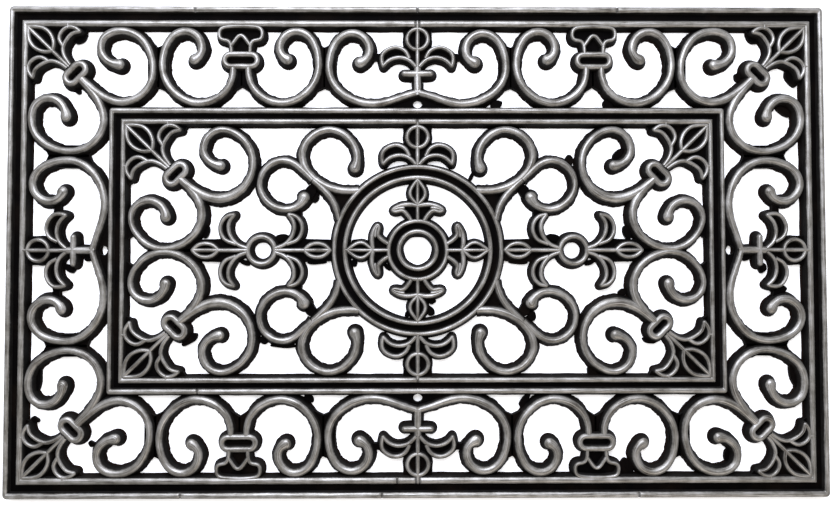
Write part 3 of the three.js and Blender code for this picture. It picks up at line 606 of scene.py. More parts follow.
    def footed(self, first: int) -> np.ndarray:
        """Gives the points with the foot of each shape at a height of its own.

        The feet of bars, beads and webs overlap on the level underside. Small steps
        keep any two of them from lying in one plane.

        Args:
            first: How many shapes stand on the floor already.

        Returns:
            The points, one row each.
        """
        step, most, level = 0.008, 23, 0.001
        points = np.array(self.points)
        ends = [*self.starts[1:], len(points)]
        for i, (start, end) in enumerate(zip(self.starts, ends)):
            heights = points[start:end, 2]
            heights[heights < level] += step * ((first + i) % most)
        return points


def moved(middle: Point, turn: float, along: float, across: float) -> Point:
    """Places distances along and across an axis that is turned about a middle."""
    cos, sin = math.cos(turn), math.sin(turn)
    return (middle[0] + along * cos - across * sin, middle[1] + along * sin + across * cos)


def lay_out(rows: Iterable[Place], rule: Rule, width: float) -> list[Row]:
    """Places rows of shares by a rule, and scales their widths.

    Args:
        rows: Two shares and, where it isn't 1, the width against the usual one.
        rule: Where a pair of shares lies.
        width: The usual half width.

    Returns:
        Rows of x, y and half width.
    """
    return [(*rule(u, v), width * (wider[0] if wider else 1.0)) for u, v, *wider in rows]


def softened(outline: np.ndarray, most: float = 2.2, share: float = 0.45) -> np.ndarray:
    """Rounds the corners of a closed outline.

    Args:
        outline: Its corners, one row each.
        most: How far from a corner the rounding may begin, in millimetres.
        share: How much of an edge it may take.

    Returns:
        The outline, with three points in place of each corner.
    """
    rows = []
    before, after = (np.roll(outline, way, axis=0) - outline for way in (1, -1))
    for corner, back, ahead in zip(outline, before, after):
        start, stop = (
            corner + edge * min(share, most / max(np.linalg.norm(edge), TINY))
            for edge in (back, ahead)
        )
        rows += [start, 0.25 * start + 0.5 * corner + 0.25 * stop, stop]
    return np.array(rows)


def linear(code: str) -> tuple[float, float, float, float]:
    """Turns an sRGB hex colour into linear values with full alpha.

    Args:
        code: The colour, such as "#7f7c76".

    Returns:
        Red, green, blue and alpha.
    """
    parts = [int(code[i : i + 2], 16) / 255 for i in (1, 3, 5)]
    values = [c / 12.92 if c <= 0.04045 else ((c + 0.055) / 1.055) ** 2.4 for c in parts]
    return (*values, 1.0)


def empty_material(name: str) -> bpy.types.Material:
    """Makes a node material without any nodes.

    Args:
        name: The material's name.

    Returns:
        The new material.
    """
    material = bpy.data.materials.new(name)
    material.use_nodes = True
    material.node_tree.nodes.clear()
    return material


def add_node(
    tree: bpy.types.NodeTree, kind: str, inputs: dict | None = None, **settings: object
) -> bpy.types.Node:
    """Adds a node, with its settings, and values or links for its inputs.

    Args:
        tree: The tree that it joins.
        kind: The node's type, without the words that all types begin with.
        inputs: A value, an output socket or a node for each input, by name or number.
            A node stands for the first of its outputs that is in use.
        **settings: The node's own properties.

    Returns:
        The new node.
    """
    node = tree.nodes.new(f"ShaderNode{kind}")
    for name, value in settings.items():
        setattr(node, name, value)
    for key, value in (inputs or {}).items():
        if isinstance(value, bpy.types.Node):
            value = next(socket for socket in value.outputs if socket.enabled)
        if isinstance(value, bpy.types.NodeSocket):
            tree.links.new(value, node.inputs[key])
        else:
            node.inputs[key].default_value = value
    return node


@dataclass(frozen=True)
class RubbedPewter:
    """Compression-moulded black rubber with a pewter-coloured finish rubbed on.

    The rubber is matt and nearly black, a little brown where it is dusty. The finish is
    a metallic paint wiped over the high parts only: it is brightest on the crests, thins
    out down the shoulders, and is streaked along each bar the way it was wiped. A faint
    film of it also lies high on the walls, and that film is painted sheen as well.

    Attributes:
        name: The material's name.
        rubber: Clean rubber.
        rubber_brown: Rubber under a film of dust.
        pewter: The finish where it is of middling thickness.
        pewter_light: The finish where it is thick.
        pewter_dark: The finish where it is thin.
        dust: Trodden dust.
        shine: The rubber's specular level.
        wall_film_and_sheen: How much finish is left high on the walls, a thin film that is also
            painted sheen.
        bare_below: The height below which the rubber is bare.
        full_above: The height above which the finish is full.
        uneven: How far the finish's edge wanders in height.
    """

    name: str = "rubber_pewter_wiped"
    rubber: str = "#030202"
    rubber_brown: str = "#0e0906"
    pewter: str = "#7f7c76"
    pewter_light: str = "#bcbab8"
    pewter_dark: str = "#352f2a"
    dust: str = "#2a1b14"
    shine: float = 0.025
    wall_film_and_sheen: float = 0.045
    bare_below: float = 6.4
    full_above: float = 8.7
    uneven: float = 0.7

    def material(self) -> bpy.types.Material:
        """Makes the node material.

        Returns:
            The new material.
        """
        material = empty_material(self.name)
        add = partial(add_node, material.node_tree)
        times, smooth = {"operation": "MULTIPLY"}, {"interpolation_type": "SMOOTHSTEP"}
        plus, colours = {"operation": "MULTIPLY_ADD"}, {"data_type": "RGBA"}
        geometry = add("NewGeometry")
        place = add("VectorMath", {0: geometry, 3: 1 / MM}, operation="SCALE")
        height = add("SeparateXYZ", {0: place}).outputs["Z"]
        tilt = add("SeparateXYZ", {0: geometry.outputs["Normal"]}).outputs["Z"]
        flow = add("UVMap", uv_map="flow")
        streaked = add("VectorMath", {0: flow, 1: (1 / 25.0, 1 / 0.7, 1.0)}, **times)
        scratched = add("VectorMath", {0: flow, 1: (1 / 60.0, 1 / 1.1, 1.0)}, **times)
        patches, streaks, scratches, clouds, film, grain = (
            add("TexNoise", {"Vector": at, "Scale": scale, "Detail": detail, "Roughness": rough})
            for at, scale, detail, rough in (
                # Wiping leaves an uneven edge: patches of 3 mm move it up and down.
                (place, 1 / 3.0, 3.0, 0.6),
                # Streaks of the cloth: about 0.7 mm across and 25 mm long, along the flow map.
                (streaked, 1.0, 4.0, 0.65),
                # Scratches where the cloth took it off again: 1.1 mm across and 60 mm long.
                (scratched, 1.0, 5.0, 0.7),
                # Clouds of thicker and thinner finish, about 14 mm across.
                (place, 1 / 14.0, 4.0, 0.62),
                # A film of dust in some places and not in others, about 60 mm across.
                (place, 1 / 60.0, 5.0, 0.7),
                # The grain of the moulded rubber, under a millimetre.
                (place, 1 / 0.9, 3.0, 0.6),
            )
        )

        # The finish lies on what stands high and faces up.
        lifted = add("Math", {0: patches, 1: 2 * self.uneven, 2: height}, **plus)
        edge = {1: self.bare_below + self.uneven, 2: self.full_above + self.uneven}
        high = add("MapRange", {"Value": lifted, **edge}, **smooth)
        leaning = add("Math", {0: patches, 1: 0.3, 2: tilt}, **plus)
        level = add("MapRange", {"Value": leaning, 1: 0.46, 2: 1.0}, **smooth)
        wiped = add("Math", {0: high, 1: level}, **times)

        #         The cloth leaves a thin film of finish down the walls, and the same film is
        #         painted sheen in place of the walls' own reflection of the light, though not on
        #         the level floors of the recesses.
        climb = add("MapRange", {"Value": height, 1: 1.0, 2: 8.4, 3: 0.0, 4: self.wall_film_and_sheen})
        steep = add("MapRange", {"Value": tilt, 1: 0.5, 2: 0.9, 3: 1.0, 4: 0.0})
        wall_film_and_sheen_mask = add("Math", {0: climb, 1: steep}, **times)
        dressed = add("Math", {0: wiped, 1: wall_film_and_sheen_mask}, operation="MAXIMUM")
        missed = add("MapRange", {"Value": scratches, 1: 0.56, 2: 0.74, 3: 1.0, 4: 0.35})
        cover = add("Math", {0: dressed, 1: missed}, **times)

        # Its tone runs from thin and brown to thick and pale, by the streaks and the clouds.
        half_clouds = add("Math", {0: clouds, 1: 0.45}, **times)
        tone = add("Math", {0: streaks, 1: 0.9, 2: half_clouds}, **plus)
        ramp = add("ValToRGB", {0: add("MapRange", {"Value": tone, 1: 0.46, 2: 0.92})})
        ramp.color_ramp.elements[0].color = linear(self.pewter_dark)
        ramp.color_ramp.elements[1].color = linear(self.pewter_light)
        ramp.color_ramp.elements.new(0.42).color = linear(self.pewter)

        # Trodden dust stays at the feet of the walls, up to about 2 mm.
        dusty = add("MapRange", {"Value": film, 1: 0.48, 2: 0.72})
        tones = {6: linear(self.rubber), 7: linear(self.rubber_brown)}
        bare = add("Mix", {0: dusty, **tones}, **colours)
        foot = add("MapRange", {"Value": lifted, 1: 0.5, 2: 2.9, 3: 0.6, 4: 0.0})
        trodden = add("Mix", {0: foot, 6: bare, 7: linear(self.dust)}, **colours)

        # Streaks and grain break up the shine a little.
        relief = add("Math", {0: streaks, 1: 0.6, 2: grain}, **plus)
        bump = {"Height": relief, "Strength": 0.35, "Distance": 0.25 * MM}
        surface = {
            "Base Color": add("Mix", {0: cover, 6: trodden, 7: ramp}, **colours),
            "Metallic": add("Math", {0: cover, 1: 0.75}, **times),
            "Roughness": add("MapRange", {"Value": cover, 1: 0.0, 2: 1.0, 3: 0.68, 4: 0.4}),
            "Specular IOR Level": self.shine,
            "Normal": add("Bump", bump),
        }
        add("OutputMaterial", {"Surface": add("BsdfPrincipled", surface)})
        return material


@dataclass(frozen=True)
class Flash:
    """A thin tongue of rubber that was squeezed out of the mould beside a wall.

    Attributes:
        x: Where its middle stands.
        y: Where its middle stands.
        half_length: Half of its length.
        half_width: Half of its width.
        degrees: How far its length is turned from X.
        height: How high it stands.
        slope: How far its sides spread.
    """

    x: float
    y: float
    half_length: float
    half_width: float
    degrees: float = 0.0
    height: float = 3.2
    slope: float = 0.3

    def outline(self) -> list[Point]:
        """Draws its uneven outline.

        Returns:
            The corners, in order.
        """
        corners, waves = 14, ((3, 0.09, self.x), (5, 0.06, self.y))
        turn = math.radians(self.degrees)
        rows = []
        for i in range(corners):
            angle = 2 * math.pi * i / corners
            reach = 1.0 + sum(size * math.sin(rate * angle + seed) for rate, size, seed in waves)
            along = reach * self.half_length * math.cos(angle)
            across = reach * self.half_width * math.sin(angle)
            rows.append(moved((self.x, self.y), turn, along, across))
        return rows


FLASHES = {
    "big_curl_ne": (Flash(50.3, 69.0, 5.6, 1.8, 63, 2.6),),
    "border_corner_scrolls_ne": (
        Flash(302.5, 163.5, 4.4, 2.8, -88),
        Flash(345.5, 131.0, 7.5, 3.2, 145),
    ),
    "border_corner_scrolls_se": (
        Flash(288.8, -190.0, 7.0, 3.2, -105),
        Flash(352.0, -117.0, 14.0, 3.8, -76),
    ),
    "border_corner_scrolls_sw": (
        Flash(-301.8, -179.4, 3.6, 2.4, -30),
        Flash(-352.5, -118.0, 13.0, 3.5, -94),
    ),
    "border_palmette_ne": (Flash(317.5, 200.2, 7.0, 4.0, 150), Flash(352.5, 162.0, 9.0, 3.6, -60)),
    "border_palmette_nw": (
        Flash(-317.0, 199.2, 7.0, 3.6, -150),
        Flash(-318.6, 149.6, 2.8, 2.4, 90),
    ),
    "border_palmette_sw": (Flash(-354.6, -156.8, 4.0, 2.4, 150),),
    "clasp_scroll_inner_se": (Flash(99.6, -139.8, 8.0, 2.8, -128),),
    "clasp_scroll_inner_sw": (Flash(-101.0, -137.4, 5.0, 3.2, 143),),
    "clasp_scroll_outer_ne": (Flash(179.2, 136.6, 5.6, 3.6, 140),),
    "clasp_se": (Flash(193.5, -202.5, 8.5, 7.0, -80),),
    "fleur_east": (Flash(308.0, -7.0, 4.0, 3.0, 0), Flash(323.6, -16.4, 5.2, 3.8, -91)),
    "fleur_scrolls_east": (Flash(338.5, -37.0, 8.0, 4.6, 0),),
    "fleur_scrolls_north": (Flash(74.2, 137.0, 5.8, 4.2, -152),),
    "fleur_scrolls_west": (Flash(-307.6, -7.2, 4.0, 2.8, 0),),
    "fleur_west": (Flash(-325.0, -16.6, 6.5, 3.0, 147),),
    "hub_rosette": (
        Flash(-28.2, -15.6, 4.2, 2.2, -40, 2.6),
        Flash(-58.0, 8.6, 4.0, 1.8, 0, 2.6),
        Flash(-59.5, -12.0, 3.4, 2.8, -60, 2.6),
        Flash(-9.2, -59.5, 4.2, 2.4, 60, 2.6),
        Flash(13.4, -47.4, 3.6, 3.0, 0, 2.6),
        Flash(11.0, -56.0, 6.4, 3.6, -50, 2.6),
    ),
    "panel_palmette_se": (Flash(217.0, -84.6, 7.0, 2.6, 170),),
    "panel_palmette_sw": (Flash(-212.0, -83.0, 9.0, 3.4, -142),),
    "panel_scrolls_ne": (Flash(188.4, 89.4, 8.0, 3.6, -125),),
    "panel_scrolls_nw": (Flash(-197.2, 16.4, 6.0, 2.2, -112),),
    "panel_scrolls_se": (Flash(162.6, -114.2, 5.4, 3.6, -45), Flash(191.6, -39.4, 3.8, 3.2, -149)),
    "roundel_east": (Flash(196.6, 16.2, 7.5, 3.6, -75),),
    "roundel_west": (
        Flash(-127.0, 11.8, 6.6, 3.6, -169),
        Flash(-161.6, -11.4, 5.6, 2.3, 161),
        Flash(-94.0, -10.8, 9.0, 2.4, -176),
    ),
    "small_curl_ne": (Flash(142.4, 84.6, 5.2, 4.2, -100),),
    "small_curl_nw": (Flash(-96.0, 49.4, 5.2, 3.6, -121),),
    "small_curl_se": (Flash(107.0, -61.5, 4.6, 4.0, -86),),
    "small_curl_sw": (Flash(-125.0, -88.4, 12.0, 2.8, 178), Flash(-144.2, -83.8, 4.6, 3.2, 150)),
}


@dataclass
class Workshop:
    """Turns reliefs into pieces that stand for the frame's nodes.

    Attributes:
        finish: The material of every piece.
        crease: The angle from which an edge is shown sharp.
        shapes: How many bars, plates and lofts stand on the floor so far.
    """

    finish: bpy.types.Material
    crease: float = math.radians(48)
    shapes: int = 0

    def make(self, node: str, relief: Relief) -> None:
        """Makes the piece that stands for a node, riding on the body.

        Args:
            node: The CAD node.
            relief: The piece's shape in millimetres, to which its flashes are added.
        """
        for flash in FLASHES.get(node, ()):
            relief.add_plate(flash.outline(), flash.height, flash.slope)
        name = f"{node}_relief"
        mesh = bpy.data.meshes.new(name)
        mesh.from_pydata((relief.footed(self.shapes) * MM).tolist(), [], relief.faces)
        self.shapes += len(relief.starts)
        layer = mesh.uv_layers.new(name="flow")
        layer.data.foreach_set("uv", np.concatenate(relief.flow).astype(np.float32).ravel())
        work = bmesh.new()
        work.from_mesh(mesh)
        bmesh.ops.recalc_face_normals(work, faces=work.faces)
        work.to_mesh(mesh)
        work.free()
        mesh.shade_smooth()
        mesh.set_sharp_from_angle(angle=self.crease)
        mesh.materials.append(self.finish)
        piece = bpy.data.objects.new(name, mesh)
        bpy.context.scene.collection.objects.link(piece)
        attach(piece, BODY)
        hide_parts(node)
        LOG.info("%s: %d faces for %s", name, len(mesh.polygons), node)

    def make_in_corners(self, stem: str, relief: Relief) -> None:
        """Makes a piece and its three mirror images.

        Args:
            stem: What the names of the four nodes begin with.
            relief: The shape of the upper left one.
        """
        for corner in Corner:
            place, sx, sy = corner.value
            self.make(f"{stem}_{place}", relief.mirrored(sx, sy))


@dataclass(frozen=True)
class Stadium:
    """A ring with straight sides and round ends, such as a collar or a strap.

    Attributes:
        x: Where its middle stands.
        y: Where its middle stands.
        angle: How far its length is turned from X.
        half_length: Half of its outside length.
        half_width: Half of its outside width.
        bead: Half of the width of its bead.
        flare: How far the bead's walls spread.
        steps: How many facets each round end has.
        overlap: How far a bar runs in under the bead.
    """

    x: float
    y: float
    angle: float
    half_length: float
    half_width: float
    bead: float = 2.6
    flare: float = 2.7
    steps: int = 8
    overlap: float = 0.2

    def line(self) -> list[Row]:
        """Gives the middle line of its bead.

        Returns:
            Places of a closed line.
        """
        radius = self.half_width - self.bead
        straight = self.half_length - self.half_width
        rows = []
        for end in (1, -1):
            for i in range(self.steps + 1):
                turn = end * math.pi / 2 - math.pi * i / self.steps
                rows.append((end * straight + radius * math.cos(turn), radius * math.sin(turn)))
            rows.append((0.0, -end * radius))
        return [(*moved((self.x, self.y), self.angle, *row), self.bead) for row in rows]

    def outside(self, x: float, y: float) -> bool:
        """Tells whether a place lies outside the middle line of the bead.

        Args:
            x: The first coordinate of the place.
            y: The second.

        Returns:
            True where it does.
        """
        along, across = moved((0.0, 0.0), -self.angle, x - self.x, y - self.y)
        beyond = max(0.0, abs(along) - (self.half_length - self.half_width))
        return math.hypot(beyond, across) > self.half_width - self.bead - self.overlap

    def add_to(self, relief: Relief, web: float) -> None:
        """Adds the bead, and the sunken slot inside it, to a relief.

        Args:
            relief: What it is added to.
            web: The height of the slot's floor.
        """
        section = replace(COLLAR, flare=self.flare)
        relief.add_sweep(self.line(), section, closed=True, step=BEAD_STEP)
        relief.add_plate(self.line(), web, 0.0)


def trimmed(places: Iterable[Place], keep: Test) -> list[Row]:
    """Keeps the part of a line that passes a test.

    Args:
        places: Rows of x, y and half width.
        keep: The test, on x and y.

    Returns:
        Rows of x, y and half width, as far apart as the rings of a bar.
    """
    line = smooth_line(places, BAR_STEP)
    rows = zip(line.xy[:, 0], line.xy[:, 1], line.half_width)
    return [(float(x), float(y), float(w)) for x, y, w in rows if keep(x, y)]


@dataclass(frozen=True)
class Rail:
    """A rail of two rounded beads with a channel between them, from the outside in.

    Attributes:
        outer: The width of the outer bead.
        channel: The width of the channel.
        inner: The width of the inner bead.
        out_flare: How far the outer wall spreads.
        in_flare: How far the inner wall spreads.
        drop: How far a bead falls to its shoulders.
        roundness: The power of the curve of a bead.
        floor: The height of the channel's floor.
        wall: A wall's edges, as share of the flare, share of the height and wander.
        cove: The channel's edges, as distance from the bead and height over the floor.
        shares: Where a bead has edges, as shares of its half width.
        rough: How far a bead's edges wander.
    """

    outer: float
    channel: float
    inner: float
    out_flare: float = 2.7
    in_flare: float = 2.7
    drop: float = 1.5
    roundness: float = 2.2
    floor: float = 5.0
    wall: tuple[Row, ...] = ((1.0, 0.0, 0.3), (0.62, 0.3, 0.2), (0.2, 0.75, 0.1))
    cove: tuple[Point, ...] = ((0.45, 0.9), (1.0, 0.0))
    shares: tuple[float, ...] = (-1.0, -0.92, -0.72, -0.38, 0.0, 0.38, 0.72, 0.92, 1.0)
    rough: float = 0.06

    def rows(self, height: float) -> list[Row]:
        """Gives the cross-section.

        Args:
            height: The height of the beads' crests.

        Returns:
            Rows of inset, height and how much the edge wanders.
        """
        shoulder = height - self.drop
        far = self.outer + self.channel
        total = far + self.inner
        rows = [(-out * self.out_flare, up * shoulder, rough) for out, up, rough in self.wall]
        rows += self.bead(0.0, self.outer, height)
        rows += [(self.outer + out, self.floor + up, 0.0) for out, up in self.cove]
        rows += [(far - out, self.floor + up, 0.0) for out, up in reversed(self.cove)]
        rows += self.bead(far, self.inner, height)
        for out, up, rough in reversed(self.wall):
            rows.append((total + out * self.in_flare, up * shoulder, rough))
        return rows

    def bead(self, start: float, width: float, height: float) -> list[Row]:
        """Gives the rounded top of one bead."""
        curve = [(t * width / 2, self.drop * abs(t) ** self.roundness) for t in self.shares]
        return [(start + width / 2 + out, height - fall, self.rough) for out, fall in curve]


@dataclass(frozen=True)
class Frame:
    """A frame of two beads, lofted from the rails of its ends and its sides.

    Attributes:
        node: The CAD node that it stands for.
        edge: Half of its length and half of its width, at the top of its walls.
        end: The rail across each end.
        side: The rail along each side.
        corner: The radius of the outermost corner.
        marks: Where small grooves cross the beads of its sides.
        tightest: The least radius of a corner.
        turns: How many points each corner has.
        parts: How many parts a side and an end are divided into.
        pitch: The usual length of the waves of its edges.
        mark_half: How wide a groove is.
        mark_reach: How far it runs across a bead.
        mark_depth: How deep it is.
        mark_floor: The height over which the rail is grooved.
        mark_shares: Where the rail has more points beside a groove, against its width.
        drain_half: How far the foot is drawn back beside a drain hole.
        foot: How near its outermost line an edge counts as the foot.
    """

    node: str
    edge: Point
    end: Rail
    side: Rail
    corner: float
    marks: tuple[Point, ...]
    tightest: float = 0.8
    turns: int = 7
    parts: tuple[int, int] = (180, 110)
    pitch: float = 43.0
    mark_half: float = 0.7
    mark_reach: float = 3.4
    mark_depth: float = 1.5
    mark_floor: float = 7.0
    mark_shares: tuple[float, ...] = (-2.0, -1.0, -0.5, 0.0, 0.5, 1.0, 2.0)
    drain_half: float = 4.8
    foot: float = 1.5

    def build(self, shop: Workshop) -> None:
        """Makes the frame.

        Args:
            shop: The workshop that makes its pieces.
        """
        height = LAYOUT.height
        rings = []
        for (end, z, rough), (side, _, _) in zip(self.end.rows(height), self.side.rows(height)):
            edge = (self.edge[0] - end, self.edge[1] - side)
            ring = self.ring(edge, max(self.corner - end, self.tightest), z, rough)
            rings.append(self.cleared(ring, min(end, 0.0)))
        relief = Relief()
        relief.add_loft(np.array(rings))
        shop.make(self.node, relief)

    def ring(self, edge: Point, radius: float, z: float, rough: float) -> np.ndarray:
        """Draws one line of the cross-section round the frame.

        Args:
            edge: Half of the line's length and width.
            radius: The radius of its corners.
            z: Its height.
            rough: How far its sides wander.

        Returns:
            The line's points.
        """
        points = []
        for quarter, signs in enumerate(((1, 1), (-1, 1), (-1, -1), (1, -1))):
            middle = np.array(signs) * (np.array(edge) - radius)
            for angle in np.linspace(quarter, quarter + 1, self.turns) * math.pi / 2:
                points.append(middle + radius * np.array([math.cos(angle), math.sin(angle)]))
            axis = quarter % 2
            places = self.places(axis, edge[axis] - radius, points[-1][1])
            for place in reversed(places) if quarter < 2 else places:
                points.append(np.where(np.arange(2) == axis, place, points[-1]))
        ring = np.array(points)
        outward = ring / np.linalg.norm(ring, axis=1, keepdims=True)
        waves = rough * wander(lengths_round(ring)[:-1], edge[0] + z, self.pitch)
        ring = ring + outward * waves[:, None]
        height = np.full(len(ring), z)
        for x, y in self.marks if z > self.mark_floor else ():
            along, across = (ring[:, 0] - x) / self.mark_half, (ring[:, 1] - y) / self.mark_reach
            height -= self.mark_depth * np.exp(-(along**2)) * np.exp(-(across**4))
        return np.column_stack([ring, height])

    def places(self, axis: int, reach: float, y: float) -> list[float]:
        """Gives where the points of one straight lie, closer together at its marks.

        Args:
            axis: 0 for a side and 1 for an end.
            reach: Half of the straight.
            y: Y where it begins.

        Returns:
            The places between its corners, in rising order.
        """
        count = self.parts[axis]
        places = [-reach + 2 * reach * i / count for i in range(1, count)]
        near = [mark[0] for mark in self.marks if axis == 0 and mark[1] * y > 0]
        return sorted(places + [x + self.mark_half * t for x in near for t in self.mark_shares])

    def cleared(self, ring: np.ndarray, inset: float) -> np.ndarray:
        """Draws the foot back to the wall where a drain hole stands beside the frame.

        Args:
            ring: A line of the cross-section, which is changed.
            inset: How far in from the wall's top it lies, below zero at the foot.

        Returns:
            The line.
        """
        high = ring.max(axis=0)
        for side, other in ((1, 0), (0, 1)):
            near = np.abs(ring[:, side]) > high[side] - self.foot
            back = -inset * np.exp(-((ring[:, other] / self.drain_half) ** 4)) * near
            ring[:, side] -= np.sign(ring[:, side]) * back
        return ring


OUTER_END = Rail(4.7, 7.6, 5.2, out_flare=0.6)
OUTER_SIDE = Rail(5.3, 7.9, 5.7, out_flare=0.6)
OUTER_CORNER = 4.0
OUTER_MARKS = (
    (-207.6, 225.5), (0.0, 225.5), (187.3, 225.5), (-1.7, 212.5), (1.7, 212.5), (-218.0, -225.5),
    (-33.0, -225.5), (203.8, -225.5), (-19.1, -212.5), (-1.7, -212.5), (1.7, -212.5),
)
INNER_END = Rail(3.9, 6.8, 4.1)
INNER_SIDE = Rail(4.8, 5.4, 4.6)
INNER_CORNER = 2.5
INNER_MARKS = ((0.0, 120.0), (0.0, -120.0), (-203.2, -130.0))


def turned(
    radius: float, rows: Iterable[Place], x: float = 0.0, segments: int = 144
) -> np.ndarray:
    """Turns a cross-section about an upright axis.

    Args:
        radius: The ring's outer radius at the top.
        rows: Its cross-section as inset, height and wander.
        x: Where the axis stands.
        segments: How many facets it has.

    Returns:
        Rings of points for a loft.
    """
    angle = np.linspace(0, 2 * math.pi, segments, endpoint=False)
    cos, sin = np.cos(angle), np.sin(angle)
    rings = []
    for inset, z, rough in rows:
        waves = np.sin(3 * angle + z) + 0.6 * np.sin(7 * angle + 2 * z)
        reach = radius - inset + rough * waves
        rings.append(np.column_stack([x + reach * cos, reach * sin, np.full(segments, z)]))
    return np.array(rings)


@dataclass
class Medallion:
    """The double-beaded ring in the middle."""

    rail: Rail = Rail(3.9, 6.0, 4.1)

    def build(self, shop: Workshop) -> None:
        """Makes the ring.

        Args:
            shop: The workshop that makes its pieces.
        """
        relief = Relief()
        relief.add_loft(turned(LAYOUT.medallion, self.rail.rows(LAYOUT.height)))
        shop.make("medallion_ring", relief)


FLAT, ROUND = End.FLAT, End.ROUND


@dataclass
class Ornament:
    """What the ornaments share.

    Attributes:
        bead: The usual half width of a bead.
        bar: The usual half width of a bar.
        web: The height of the webs.
        bulge: The side of a leaf, as shares of its half length and half width.
    """

    bead: float = 1.85
    bar: float = 3.45
    web: float = 4.6
    bulge: tuple[Point, ...] = ((1.0, 0.0), (0.6, 0.72), (0.0, 1.0), (-0.6, 0.72), (-1.0, 0.0))

    def beads(
        self, rows: Iterable[Place], rule: Rule, start: End, stop: End, relief: Relief
    ) -> None:
        """Adds a fine bead along shares of a bay."""
        relief.add_sweep(lay_out(rows, rule, self.bead), BEAD, start, stop, step=BEAD_STEP)

    def webs(self, tables: Iterable[Iterable[Place]], rule: Rule, relief: Relief) -> None:
        """Adds low webs with outlines of shares of a bay."""
        for rows in tables:
            relief.add_plate([rule(*row) for row in rows], self.web)

    def scroll(
        self,
        rows: Iterable[Place],
        rule: Rule,
        relief: Relief,
        keep: Test | None = None,
    ) -> None:
        """Adds a scroll bar that ends in a round terminal.

        Args:
            rows: Its places as shares of a bay.
            rule: The rule of the bay.
            relief: What it is added to.
            keep: Tells which places of its line are clear of the piece that it springs from.
        """
        places = lay_out(rows, rule, self.bar)
        relief.add_sweep(trimmed(places, keep) if keep else places, BAR, knob=KNOB)

    def leaf(
        self, middle: Point, turn: float, half_length: float, half_width: float, relief: Relief
    ) -> None:
        """Adds the two sides of a pointed leaf.

        Args:
            middle: Where its middle stands.
            turn: How far its length is turned from X.
            half_length: Half of its outside length.
            half_width: Half of its outside width.
            relief: What it is added to.
        """
        length, width = half_length - self.bead, half_width - self.bead
        for sign in (1, -1):
            rows = [moved(middle, turn, u * length, sign * v * width) for u, v in self.bulge]
            places = [(*row, self.bead) for row in rows]
            relief.add_sweep(places, BEAD, ROUND, ROUND, step=BEAD_STEP)


LEAF_ARC = (
    (-0.7, 0.686), (-0.598, 0.692), (-0.467, 0.667), (-0.371, 0.585), (-0.32, 0.459), (-0.33, 0.33),
)
LEAF_RIB = ((-0.7, 0.686), (-0.09, 0.09))
CRESCENT_INNER = (
    (-0.073, 0.118), (-0.153, 0.239), (-0.183, 0.361), (-0.141, 0.479), (-0.05, 0.588),
    (0.059, 0.621),
)
CRESCENT_OUTER = (
    (-0.177, 0.391), (-0.238, 0.512), (-0.205, 0.618), (-0.108, 0.688), (-0.012, 0.676),
    (0.059, 0.627),
)
PALMETTE_TICK = ((-0.108, 0.67, 0.75), (-0.108, 0.73, 0.7))
PALMETTE_WEB = (
    (-0.8, 0.8), (0.15, 0.8), (0.15, 0.69), (0.1, 0.61), (-0.05, 0.588), (-0.141, 0.479),
    (-0.183, 0.361), (-0.153, 0.239), (-0.03, 0.11), (0.02, -0.02),
)


@dataclass
class Palmettes(Ornament):
    """The leaf, crescents and collar in the corners of the border or the panel.

    Attributes:
        stem: What the names of its nodes begin with.
        reach: The distance from the corner to the collar.
        corner: The corner that it grows from.
        half_length: Half of the collar's outside length.
        half_width: Half of its outside width.
        collar_bead: Half of the width of its bead.
        collar_flare: How far its walls spread.
        diagonal: How much of the reach lies along each side.
    """

    stem: str = "border_palmette"
    reach: float = 63.2
    corner: Point = (0.0, 0.0)
    half_length: float = 13.9
    half_width: float = 8.4
    collar_bead: float = 2.85
    collar_flare: float = 3.4
    diagonal: float = 0.707

    def collar(self) -> Stadium:
        """Gives the collar of the upper left corner.

        Returns:
            The collar, square to the diagonal.
        """
        step = self.reach * self.diagonal
        x, y = step - self.corner[0], self.corner[1] - step
        sizes = (self.half_length, self.half_width, self.collar_bead, self.collar_flare)
        return Stadium(x, y, math.pi / 4, *sizes)

    def build(self, shop: Workshop) -> None:
        """Makes the palmette of each corner.

        Args:
            shop: The workshop that makes its pieces.
        """
        relief = Relief()
        collar = self.collar()
        rules = (
            lambda u, v: (collar.x + u * self.reach, collar.y + v * self.reach),
            lambda u, v: (collar.x - v * self.reach, collar.y - u * self.reach),
        )
        for rule in rules:
            self.beads(LEAF_ARC, rule, FLAT, FLAT, relief)
            self.beads(CRESCENT_INNER, rule, FLAT, ROUND, relief)
            self.beads(CRESCENT_OUTER, rule, ROUND, ROUND, relief)
            self.beads(PALMETTE_TICK, rule, FLAT, ROUND, relief)
            self.webs((PALMETTE_WEB,), rule, relief)
        self.beads(LEAF_RIB, rules[0], FLAT, FLAT, relief)
        collar.add_to(relief, self.web)
        shop.make_in_corners(self.stem, relief)


